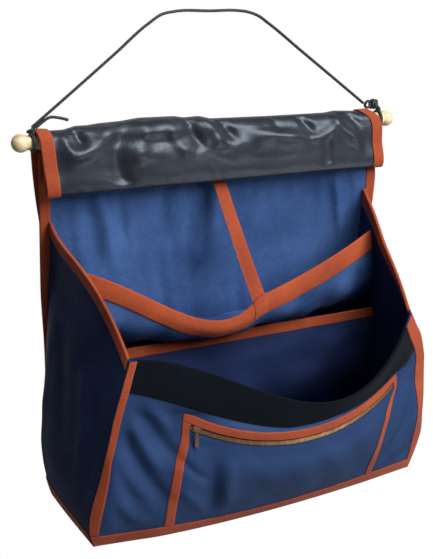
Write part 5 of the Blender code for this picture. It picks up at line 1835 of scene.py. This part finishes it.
class Pockets:
    """The two pockets hung inside and the strap."""

    ROWS = 6
    STRAP_SHARES = (-1.0, -0.9, -0.5, 0.0, 0.5, 0.9, 1.0)

    def __init__(self, tailor: Tailor, bag: Bag, sizes: PocketSizes = PocketSizes()) -> None:
        """Works out the surfaces.

        Args:
            tailor: Makes the pieces.
            bag: The bag that they hang in.
            sizes: Their sizes.
        """
        self.tailor, self.bag, self.sizes = tailor, bag, sizes
        self.trees = [sheet.tree() for sheet in bag.gussets]
        self.half = bag.back_shape.sizes.width / 2 - bag.back_shape.sizes.flange
        middle = (sizes.centre[0] + self.half) / (2 * self.half)
        n = sizes.strap_column
        shares = [*np.linspace(0, middle, n + 1), *np.linspace(middle, 1, n)[1:]]
        upper = self._hung(self._upper_line, shares, sizes.upper_foot, sizes.upper_belly, sizes.upper_binding)
        level = list(np.linspace(0, 1, 13))
        lower = self._hung(self._lower_line, level, sizes.lower_foot, sizes.lower_belly, sizes.lower_binding)
        self.upper = Sheet(upper, (0, -1, 0), self._folds(21))
        self.lower = Sheet(lower, (0, -1, 0), self._folds(34))

    def _folds(self, seed: int) -> Relief:
        """A pocket's slack folds.

        Args:
            seed: Which pattern.

        Returns:
            The function that gives their heights.
        """

        def folds(points: Array, u: Array, v: Array) -> Array:
            """Heights from points and distances."""
            x, z = points[..., 0], points[..., 2]
            edge = smooth((0.27 - np.abs(x)) / 0.05) * smooth((v - 0.006) / 0.05)
            return 0.0022 * ripple(x, z, seed, 0.07) * edge

        return folds

    def _hung(
        self, top_line: Callable[[float], Array], shares: Sequence[float], foot_drop: float, belly: float,
        tape: float,
    ) -> Array:
        """A pocket between the gussets, sewn to the back panel along its foot.

        Args:
            top_line: The top edge at a share from left to right.
            shares: The columns.
            foot_drop: The drop of its foot.
            belly: How far it stands out.
            tape: The depth of its binding.

        Returns:
            The grid.
        """
        s, rows = self.sizes, self.ROWS
        foot_y = float(self.bag.back_shape.setback(foot_drop)) - CLOTHS.half - CLOTHS.gap - s.foot_room
        grid = np.zeros((rows + 2, len(shares), 3))
        v = np.linspace(0, 1, 61)[:, None]
        w = 1 - v
        for c, share in enumerate(shares):
            top = top_line(share)
            foot = point(top[0], foot_y, -foot_drop)
            reach, fall = s.upper_handle
            first = top + point(0, -belly * reach, -(top[2] - foot[2]) * fall)
            back, reach, fall = s.lower_handle
            low = -foot_drop - belly * fall
            second = point(top[0], float(mix(top[1], foot_y, back)) - belly * reach, low)
            line = top * w**3 + 3 * first * w * w * v + 3 * second * w * v * v + foot * v**3
            length = run_of(line)
            marks = [0, tape / 2, *np.linspace(tape, length[-1], rows)]
            for k in range(3):
                grid[:, c, k] = np.interp(marks, length, line[:, k])
        for row in grid:
            left, right = (self._end(i, row[-i]) for i in (0, 1))
            x = row[:, 0].copy()
            row[:, 0] = x + mix(left - x[0], right - x[-1], (x - x[0]) / (x[-1] - x[0]))
        return grid

    def _end(self, which: int, place: Array) -> float:
        """The x of a pocket's end, just inside the left gusset (0) or the right one (1)."""
        hit, normal, _, _ = self.trees[which].ray_cast((0, place[1], place[2]), (2 * which - 1, 0, 0))
        room = (CLOTHS.half + CLOTHS.gap) / abs(normal[0]) + self.sizes.end_room
        return hit[0] - (2 * which - 1) * room

    def _upper_line(self, u: float) -> Array:
        """The upper pocket's top edge: a slack left half, then a drawn right half.

        Args:
            u: The share from left to right.

        Returns:
            The point.
        """
        s, half = self.sizes, self.half
        left, right = (point(side * half, -s.end_reach, -s.end_drop) for side in (-1, 1))
        centre, x = point(*s.centre), float(mix(-half, half, u))
        if x >= centre[0]:
            t = (x - centre[0]) / (half - centre[0])
            return mix(centre, right, t) - point(0, s.right_fullness * sag(t, 0.5), 0)
        t = (x + half) / (centre[0] + half)
        slack = point(0, s.left_fullness * sag(t, s.left_full_peak), s.left_sag * sag(t, s.left_peak))
        return mix(left, centre, t) - slack

    def _lower_line(self, u: float) -> Array:
        """The lower pocket's level top edge at a share from left to right."""
        return point(float(mix(-self.half, self.half, u)), -self.sizes.lower_reach, -self.sizes.lower_drop)

    def build(self) -> None:
        """Makes every piece."""
        made, s = self.tailor, self.sizes
        room = (s.tape_end_room, s.tape_end_room)
        for name, sheet, depth, finish in (
            ("upper", self.upper, s.upper_binding, Finish.BLUE),
            # The lower pocket wears the blue cloth with painted shade.
            ("lower", self.lower, s.lower_binding, Finish.SHADED),
        ):
            cloth = made.panel(f"{name}_pocket_cloth", sheet, finish)
            tape = made.folded(f"{name}_pocket_tape", sheet, Edge.TOP, depth, depth, room)
            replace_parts(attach(cloth, "bag"), f"{name}_pocket_panel")
            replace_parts(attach(tape, "bag"), f"{name}_pocket_binding")
            held = {"rests_on": ["back_panel_cloth"], "area": sheet.area(), "with_pieces": [tape]}
            sheet.size()
        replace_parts(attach(self._strap(), "bag"), "pocket_strap")

    def _strap(self) -> Thing:
        """The tape that holds up the middle of the upper pocket.

        Returns:
            The piece.
        """
        s, upper = self.sizes, self.upper
        half = s.strap_width / 2
        over = CLOTHS.tape_outer + CLOTHS.strap_room
        cell = float(upper.along[s.strap_column + 1] - upper.along[s.strap_column])
        shares = np.array(self.STRAP_SHARES)
        faces = ([], [])
        for share in shares:
            c = np.array([s.strap_column + share * half / cell])
            edge, below = (upper.place(np.array([r]), c)[0] for r in (0.0, 1.0))
            normal = upper.normal(np.array([0.0]), c)[0]
            thick = CLOTHS.tape * (1.0 if abs(share) < 0.95 else 0.45)
            for face, extra in zip(faces, (0.0, thick)):
                depth = CLOTHS.half + 3 * CLOTHS.gap + extra
                route = [
                    point(s.strap_top_x + share * half, float(self.bag.back_shape.setback(d)) - depth, -d)
                    for d in (s.strap_top_drop, s.strap_sewn_drop)
                ]
                lift = -unit(below - edge) * (2 * CLOTHS.gap + CLOTHS.tape + extra)
                route.append(edge - normal * (over * 0.4 + extra) + lift)
                route.append(edge + normal * (over + extra) + lift)
                route.extend(upper.place(np.array([r]), c, over + extra)[0] for r in (1.0, 1.8))
                face.append(self._strap_line(route))
        inner, outer = (np.array(x).transpose(1, 0, 2) for x in faces)
        flat = np.broadcast_arrays(run_of(inner[:, 3])[:, None], half - np.abs(shares) * half)
        return self.tailor.slab("pocket_strap_tape", inner, outer, np.stack(flat, axis=-1), Finish.RUST)

    @staticmethod
    def _strap_line(route: Sequence[Array]) -> Array:
        """One thread line of the strap: sewn flat, then drawn to the pocket with a slight sag.

        Args:
            route: Its corner points.

        Returns:
            Its points, in even numbers for every line.
        """
        line = [route[0]]
        for a, b, count, fall in zip(route, route[1:], (8, 40, 4, 7, 5), (0.0, 0.0035, 0.0, 0.0, 0.0)):
            line += [mix(a, b, t) - point(0, 0, fall * 4 * t * (1 - t)) for t in np.linspace(0, 1, count)[1:]]
        return np.array(line)


class Lid:
    """The lid, from the sleeve's seam round the fold and over the dowel to its tail."""

    COLUMNS = 13
    BEND_ABOVE = 0.008

    def __init__(self, tailor: Tailor, back: BackPanel, sizes: LidSizes = LidSizes()) -> None:
        """Works out the two halves of the cloth.

        Args:
            tailor: Makes the pieces.
            back: The back panel's shape, which the tail lies against.
            sizes: The lid's sizes.
        """
        self.tailor, self.back, self.sizes = tailor, back, sizes
        fold, arch, tail = self._fold(), self._arch(), self._tail()
        apex = len(arch) // 2
        self.front = self._sheet([*fold[::-1], *arch[1 : apex + 1]], (0, 0, 1))
        self.tail = self._sheet([*arch[apex:], *tail[1:]], (0, 1, 0))

    def _sheet(self, lines: Sequence[Line], outward: Point) -> Sheet:
        """The cloth through lines across the lid."""
        grid = [[point(x, y, z) for x in np.linspace(*ends, self.COLUMNS)] for y, z, ends in lines]
        return Sheet(np.array(grid), outward, self._folds)

    def _arch(self) -> list[Line]:
        """The lines over the dowel, from the front hinge to the tail's hinge.

        Returns:
            The lines.
        """
        s = self.sizes
        rise = DOWEL.sleeve_outer + CLOTHS.gap + CLOTHS.tape_outer
        hinge, top, tail = (np.array(x) for x in (s.front_hinge, s.top, s.tail_hinge))
        lines = []
        for t in np.linspace(0, 1, 13):
            turn = math.pi * t
            ends = mix(mix(hinge, tail, t), top, math.sin(turn) ** 2)
            lines.append((-s.arch_reach * math.cos(turn), rise * math.sin(turn), ends))
        return lines

    def _fold(self) -> list[Line]:
        """The lines from the front hinge down, round the fold and up to the sleeve.

        Returns:
            The lines.
        """
        s = self.sizes
        low = -s.fold_drop + s.fold_radius
        path = [(-s.arch_reach, 0.0), (-(s.arch_reach + s.fold_reach) / 2, low / 2), (-s.fold_reach, low)]
        for turn in np.radians((45, 90, 135, 180)):
            y = s.fold_radius * (1 - math.cos(turn)) - s.fold_reach
            path.append((y, low - s.fold_radius * math.sin(turn)))
        seam = math.radians(s.seam_angle)
        rise = -path[-1][1] - DOWEL.sleeve_outer * math.sin(seam)
        run = -path[-1][0] - DOWEL.sleeve_outer * math.cos(seam)
        seat = DOWEL.sleeve_outer + CLOTHS.gap + CLOTHS.tape_outer * math.sin(math.atan2(rise, run) - seam)
        end = (-seat * math.cos(seam), -seat * math.sin(seam))
        path += [tuple((a + b) / 2 for a, b in zip(path[-1], end)), end]
        hinge, fold, sewn = (np.array(x) for x in (s.front_hinge, s.fold, s.seam))
        foot, top = -s.fold_drop, path[-1][1]
        turned = min(range(len(path)), key=lambda i: path[i][1])
        return [
            (y, z, mix(hinge, fold, z / foot) if i <= turned else mix(fold, sewn, (z - foot) / (top - foot)))
            for i, (y, z) in enumerate(path)
        ]

    def _tail(self) -> list[Line]:
        """The lines down behind the dowel to the tail's end.

        Returns:
            The lines.
        """
        s = self.sizes
        seat = float(self.back.setback(s.tail_drop)) + 2 * CLOTHS.tape_outer + 2 * CLOTHS.gap
        ends, narrow = np.array(s.tail_hinge), np.array((s.narrowing[0], -s.narrowing[1]))
        return [
            (float(mix(s.arch_reach, seat, t)), -s.tail_drop * t, ends + narrow * t**2)
            for t in np.linspace(0, 1, 7)
        ]

    CREASES = (
        Crease((-160, 30, -177, 6, -187, -14, -187, -36, -174, -78, -166, -110), -6.8, 12, 1.3),
        Crease((-128, 26, -146, 2, -152, -22, -146, -48), 4, 16),
        Crease((-290, -26, -240, -16, -208, 2, -165, 26), 6, 9, 1.2),
        Crease((-250, 30, -246, 6, -238, -12), -7, 7),
        Crease((-276, 16, -268, -6, -262, -20), 4, 8),
        Crease((-68, 30, -54, 0, -38, -28), -8, 7, 1.8),
        Crease((-40, 30, -24, 2, -4, -24), 4.5, 10),
        Crease((-104, 20, -90, -6, -62, -40), 3, 9),
        Crease((-14, 30, 2, 6, 24, -20), -5.5, 8),
        Crease((22, -4, 70, -6, 120, -14, 160, -18), 5, 8, 1.5),
        Crease((150, -22, 180, -18, 204, -4, 222, 14), 5.5, 8),
        Crease((134, 30, 156, 0, 170, -22), -6.5, 7, 1.3),
        Crease((88, 26, 96, 6, 104, -8), -3.5, 8),
        Crease((196, 30, 216, -2, 256, -34, 296, -66), 5.5, 7, 1.4),
        Crease((226, 32, 256, 0, 292, -36), -7, 8, 1.2),
        Crease((252, 34, 276, 10, 300, -10), 4.5, 6),
        Crease((190, -10, 194, -44, 198, -84), -3.5, 8, 1.8),
    )

    def _folds(self, points: Array, u: Array, v: Array) -> Array:
        """The lid's creases and the uneven line of its top.

        Args:
            points: Points of the smooth cloth.
            u: Distances along it; not used.
            v: Distances down it; not used.

        Returns:
            Heights.
        """
        x, y, z = points[..., 0], points[..., 1], points[..., 2]
        s = self.sizes
        rise = DOWEL.sleeve_outer + CLOTHS.gap + CLOTHS.tape_outer
        places, heights = zip(*s.top_line)
        wanted = np.interp(x, places, heights) - CLOTHS.lining / 2
        over = smooth((z + 0.012) / 0.026)
        lift = (wanted - rise) * over
        lift = np.where(lift < 0, lift * smooth((0.3 - np.abs(x)) / 0.02), lift)
        outer = y < -0.5 * (s.fold_reach - s.fold_radius)
        front = np.where(outer & (y <= 0), 1.0, 0.0) * smooth((z + s.fold_drop - 0.004) / 0.015)
        side = np.minimum(np.maximum(x - s.fold[0], 0.0), np.maximum(s.top[1] - x, 0.0))
        edge = smooth((side - 0.012) / 0.03)
        creases = folds_at(self.CREASES, x, z) + 0.0009 * ripple(x, z, 5, 0.05) * smooth((z + 0.045) / 0.02)
        crest = z + 0.019 - 0.006 * ripple(x, 0 * x, 9, 0.11)
        roll = 0.006 * np.where(crest > 0, np.exp(-((crest / 0.014) ** 2)), 1 - smooth(-crest / 0.056))
        creases = creases + roll * (1 + 0.4 * ripple(x, z, 15, 0.07))
        tail = np.where(y > 0, 1.0, 0.0) * smooth((-z - 0.02) / 0.05)
        tail = tail * smooth((z + s.tail_drop - 0.02) / 0.04)
        soft = 0.0016 * ripple(x, z, 17, 0.09) * tail * edge
        return lift + creases * front * edge * (1 - 0.45 * smooth((z - 0.004) / 0.012)) + soft

    def build(self) -> None:
        """Makes every piece."""
        made, s = self.tailor, self.sizes
        front = made.panel("lid_front_cloth", self.front, Finish.LINING, CLOTHS.lining / 2)
        tail = made.panel("lid_tail_cloth", self.tail, Finish.LINING, CLOTHS.lining / 2)
        fronts, tails = [], []
        for name, edge in (("left", Edge.LEFT), ("right", Edge.RIGHT)):
            for part, sheet, pieces in (("front", self.front, fronts), ("tail", self.tail, tails)):
                pieces.append(made.folded(f"lid_{part}_{name}_tape", sheet, edge, s.binding, s.binding))
        room = s.binding + CLOTHS.gap
        end = made.folded("lid_end_tape", self.tail, Edge.FOOT, s.end_inset, s.end_inset, (room, room))
        width, length = self.tail.size()
        low = length - s.end_inset - CLOTHS.gap
        strip = made.strip(
            "lid_closure_strip_band", self.tail,
            tuple(float(x) for x in self.tail.row_at(np.array((low - s.strip_height, low)))),
            tuple(float(x) for x in self.tail.column_at(np.array((room, width - room)))), Finish.STRIP,
        )
        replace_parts(front, "lid_front_fold")
        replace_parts(tail, "lid_tail", "lid_over_dowel")
        for name, before, behind in zip(("left", "right"), fronts, tails):
            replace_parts(before, f"lid_front_fold_binding_{name}")
            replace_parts(behind, f"lid_tail_binding_{name}", f"lid_over_dowel_binding_{name}")
        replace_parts(end, "lid_end_binding")
        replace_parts(strip, "lid_closure_strip")
        for pieces, body, y, below in (
            ([front, *fronts], "lid_front", -s.arch_reach, 0.012),
            ([tail, *tails], "lid_back", s.arch_reach, 0.014),
        ):
            for obj in pieces:
                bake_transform(obj)
        for obj in (end, strip):
            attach(obj, "lid_back")
        for cloth, sheet, held, pieces in (
            (front, self.front, "folded", fronts), (tail, self.tail, "draped", [*tails, end, strip]),
        ):
            rests = {"rests_on": ["dowel_sleeve_cloth"], "area": sheet.area(), "with_pieces": pieces}
            sheet.size()


@dataclass
class Hanger:
    """The sleeve on the dowel, the hanging cord and its knots."""

    RADIUS = 0.0024
    BRAID = 0.07
    SPACING = 0.0011
    ROUTE = (
        (-0.3115, 0.0223), (-0.244, 0.0735), (-0.1765, 0.1254), (-0.12, 0.1693), (-0.098, 0.1822),
        (-0.076, 0.1863), (-0.015, 0.1865), (0.033, 0.1865), (0.049, 0.1847), (0.07, 0.1783),
        (0.09, 0.1658), (0.15, 0.123), (0.215, 0.0766), (0.245, 0.0551), (0.2818, 0.0287),
    )
    TAIL = (
        (0.0056, -0.0042, 0.0215), (0.015, -0.0044, 0.0289), (0.0285, -0.0046, 0.0363),
        (0.042, -0.005, 0.0348), (0.056, -0.005, 0.0308),
    )
    HITCH = (
        (-0.0035, -0.006, 0.0114), (0.0035, -0.005, 0.0169), (0.004, 0.003, 0.0184), (-0.003, 0.0055, 0.0154),
        (-0.005, 0.0, 0.0164), (-0.0005, -0.0045, 0.0196), (0.004, 0.0, 0.0209),
    )
    NECKS = (
        ((-0.004, 0.001, 0.019), (-0.002, -0.003, 0.0215), (0.0008, -0.0045, 0.017), (0.001, -0.005, 0.0125)),
        ((-0.003, 0.0, 0.024), (0.001, 0.003, 0.02), (0.0012, 0.0045, 0.0128)),
    )
    KNOT_RISE, EYE_X, BODY_X, TILT = 0.0262, -0.0215, -0.0105, 0.004
    TURNS = ((-0.003, 0.3, 0.0052, 0.0064), (0.0015, -0.2, 0.0055, 0.007), (0.0048, 0.25, 0.005, 0.006))
    SLEEVE_LINES, SLEEVE_TURNS = 160, 40

    tailor: Tailor

    def build(self) -> None:
        """Makes every piece."""
        self._sleeve()
        left = self._knot("cord_knot_left", self._left_strands(-DOWEL.loop_x))
        right = self._knot("cord_knot_right", self._right_strands(DOWEL.loop_x))
        over = [point(x, 0, z) for x, z in self.ROUTE]
        loose = np.array(self.TAIL) - point(DOWEL.loop_x, 0, 0)
        for name, route, end, lay, knot in (
            ("hanger_cord", over, "knot", "taut", right), ("cord_tail_left", loose, "bare", "loose", left),
        ):
            line = smooth_line(route, self.SPACING)
            cord = self.tailor.tube(f"{name}_rope", line, self.RADIUS, Finish.CORD, self.BRAID)
            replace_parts(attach(cord, "bag"), name)
            length = float(np.linalg.norm(np.diff(line, axis=0), axis=1).sum())

    def _sleeve(self) -> None:
        """The cloth tunnel round the dowel."""
        half = DOWEL.sleeve_length / 2
        n, m = self.SLEEVE_LINES, self.SLEEVE_TURNS
        turn = np.linspace(0, math.tau, m, endpoint=False)
        xx, tt = np.meshgrid(np.linspace(-half, half, n), turn, indexing="ij")
        points, uv = [], []
        for radius in (DOWEL.sleeve_inner, DOWEL.sleeve_outer):
            points.append(np.stack((xx, radius * np.cos(tt), radius * np.sin(tt)), axis=-1).reshape(-1, 3))
            uv.append(np.stack((xx, tt * radius), axis=-1).reshape(-1, 2))
        lines = [(layer + i * m, layer + (i + 1) * m) for layer in (0, n * m) for i in range(n - 1)]
        lines += [(i * m, n * m + i * m) for i in (0, n - 1)]
        faces = [(a + k, a + (k + 1) % m, b + (k + 1) % m, b + k) for a, b in lines for k in range(m)]
        sleeve = self.tailor.piece(
            "dowel_sleeve_cloth", np.concatenate(points), faces, np.concatenate(uv), Finish.BLUE
        )
        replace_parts(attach(sleeve, "bag"), "dowel_sleeve")

    def _loop(self, x: float) -> tuple[Array, bool]:
        """The centreline of the cord's closed turn round the dowel."""
        across, turn = DOWEL.radius + CLOTHS.gap + self.RADIUS, np.linspace(0, math.tau, 60, endpoint=False)
        return np.stack((np.full(60, x), across * np.cos(turn), across * np.sin(turn)), axis=1), True

    def _left_strands(self, x: float) -> list[tuple[Array, bool]]:
        """The turn round the dowel with its small hitch on top."""
        return [self._loop(x), (smooth_line(np.array(self.HITCH) + point(x, 0, 0), 0.001), False)]

    def _right_strands(self, x: float) -> list[tuple[Array, bool]]:
        """The turn round the dowel and the bulky knot that stands on it.

        Args:
            x: Where the knot lies.

        Returns:
            Centrelines, each with whether it is closed.
        """
        centre, body = (point(x + shift, 0.0, self.KNOT_RISE) for shift in (self.EYE_X, self.BODY_X))
        eye = [
            centre + point(0.0052 * math.cos(a), 0.0012 * math.sin(2 * a), 0.0056 * math.sin(a))
            for a in np.linspace(0, math.tau, 30, endpoint=False)
        ]
        strands = [self._loop(x), (np.array(eye), True)]
        for shift, tilt, wide, tall in self.TURNS:
            loop = [
                body + point(shift + tilt * self.TILT * math.sin(a), wide * math.cos(a), tall * math.sin(a))
                for a in np.linspace(0, math.tau, 36, endpoint=False)
            ]
            strands.append((np.array(loop), True))
        for neck in self.NECKS:
            strands.append((smooth_line(np.array(neck) + point(x, 0, 0), 0.001), False))
        return strands

    def _knot(self, name: str, strands: Sequence[tuple[Array, bool]]) -> Thing:
        """Joins strands into one knot.

        Args:
            name: The frame's piece that it replaces.
            strands: Centrelines, each with whether it is closed.

        Returns:
            The knot.
        """
        made = [
            self.tailor.tube(f"{name}_strand_{i}", line, self.RADIUS, Finish.CORD, self.BRAID, closed)
            for i, (line, closed) in enumerate(strands)
        ]
        with bpy.context.temp_override(
            active_object=made[0], object=made[0], selected_editable_objects=made, selected_objects=made
        ):
            bpy.ops.object.join()
        made[0].name = f"{name}_rope"
        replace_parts(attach(made[0], "bag"), name)
        return made[0]


# Studio


@dataclass(frozen=True)
class Lamp:
    """A soft square lamp that looks at the bag."""

    name: str
    place: tuple[float, float, float]
    size: float
    power: float


class Studio:
    """The camera, the lamps and a pale floor under the hanging bag."""

    CAMERA = (-0.7225, -1.4252, 0.035)
    PITCH = 16.5088
    YAW = 26.7359
    FOCAL_PIXELS = 979.7919
    FRAME_HEIGHT = 559
    SENSOR = 36.0
    NEAREST = 0.05
    TARGET = (0.0, -0.08, -0.45)
    FLOOR_DROP = 2.4
    FLOOR_SIZE = 16.0
    FLOOR_SHADE = (0.5, 0.5, 0.5, 1)
    SKY, SKY_POWER = (0.86, 0.93, 1.0, 1), 0.11
    LAMPS = (
        Lamp("key", (1.0, -2.05, 1.2), 1.5, 88.0),
        Lamp("top", (0.1, -1.15, 1.6), 0.7, 24.0),
        Lamp("fill", (-1.7, -1.3, 0.3), 1.6, 1.2),
        Lamp("low", (1.5, -2.0, -1.7), 1.0, 13.0),
        Lamp("rear", (0.3, 1.9, -0.2), 3.0, 16.0),
    )

    def build(self) -> None:
        """Makes the camera, the lamps, the world and the floor."""
        scene = bpy.context.scene
        data = bpy.data.cameras.new("view")
        data.sensor_width = self.SENSOR
        data.lens = self.FOCAL_PIXELS * self.SENSOR / self.FRAME_HEIGHT
        data.clip_start = self.NEAREST
        camera = bpy.data.objects.new("view", data)
        camera.location = self.CAMERA
        camera.rotation_euler = (math.radians(90 - self.PITCH), 0.0, math.radians(-self.YAW))
        scene.collection.objects.link(camera)
        bpy.context.scene.camera = camera
        for lamp in self.LAMPS:
            self._lamp(lamp)
        self._backdrop()
        scene.view_settings.view_transform = "Standard"

    def _lamp(self, lamp: Lamp) -> None:
        """Makes a lamp.

        Args:
            lamp: Its sizes.
        """
        data = bpy.data.lights.new(lamp.name, "AREA")
        data.size = lamp.size
        data.energy = lamp.power
        obj = bpy.data.objects.new(lamp.name, data)
        obj.location = lamp.place
        way = Vector(self.TARGET) - Vector(lamp.place)
        obj.rotation_euler = way.to_track_quat("-Z", "Y").to_euler()
        bpy.context.scene.collection.objects.link(obj)

    def _backdrop(self) -> None:
        """A backdrop and a floor, both white to the camera, that light the bag weakly."""
        world = bpy.data.worlds.new("backdrop")
        bpy.context.scene.world = world
        bpy.ops.mesh.primitive_plane_add(size=self.FLOOR_SIZE, location=(0, 0, -self.FLOOR_DROP))
        floor = bpy.context.active_object
        floor.name = "floor"
        material = bpy.data.materials.new("floor_white")
        floor.data.materials.append(material)
        sky = {"Color": self.SKY, "Strength": self.SKY_POWER}
        for owner, lit, inputs, white, output in (
            (world, "ShaderNodeBackground", sky, "ShaderNodeBackground", "ShaderNodeOutputWorld"),
            (material, "ShaderNodeBsdfDiffuse", {"Color": self.FLOOR_SHADE}, "ShaderNodeEmission",
             "ShaderNodeOutputMaterial"),
        ):
            owner.use_nodes = True
            owner.node_tree.nodes.clear()
            kit = Tree(owner.node_tree)
            kit.seen_white(kit.node(lit, inputs), white, output)


def main() -> None:
    """Builds the scene."""
    logging.basicConfig(level=logging.INFO, format="%(name)s: %(message)s")
    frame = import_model()
    palette = Palette(frame["nodes"])
    tailor = Tailor(palette)
    Studio().build()
    Hanger(tailor).build()
    bag = Bag(tailor)
    bag.build()
    ZipPocket(tailor, bag).build()
    Pockets(tailor, bag).build()
    Lid(tailor, bag.back_shape).build()
    LOG.info("%d pieces made", tailor.count)


if __name__ == "__main__":
    main()
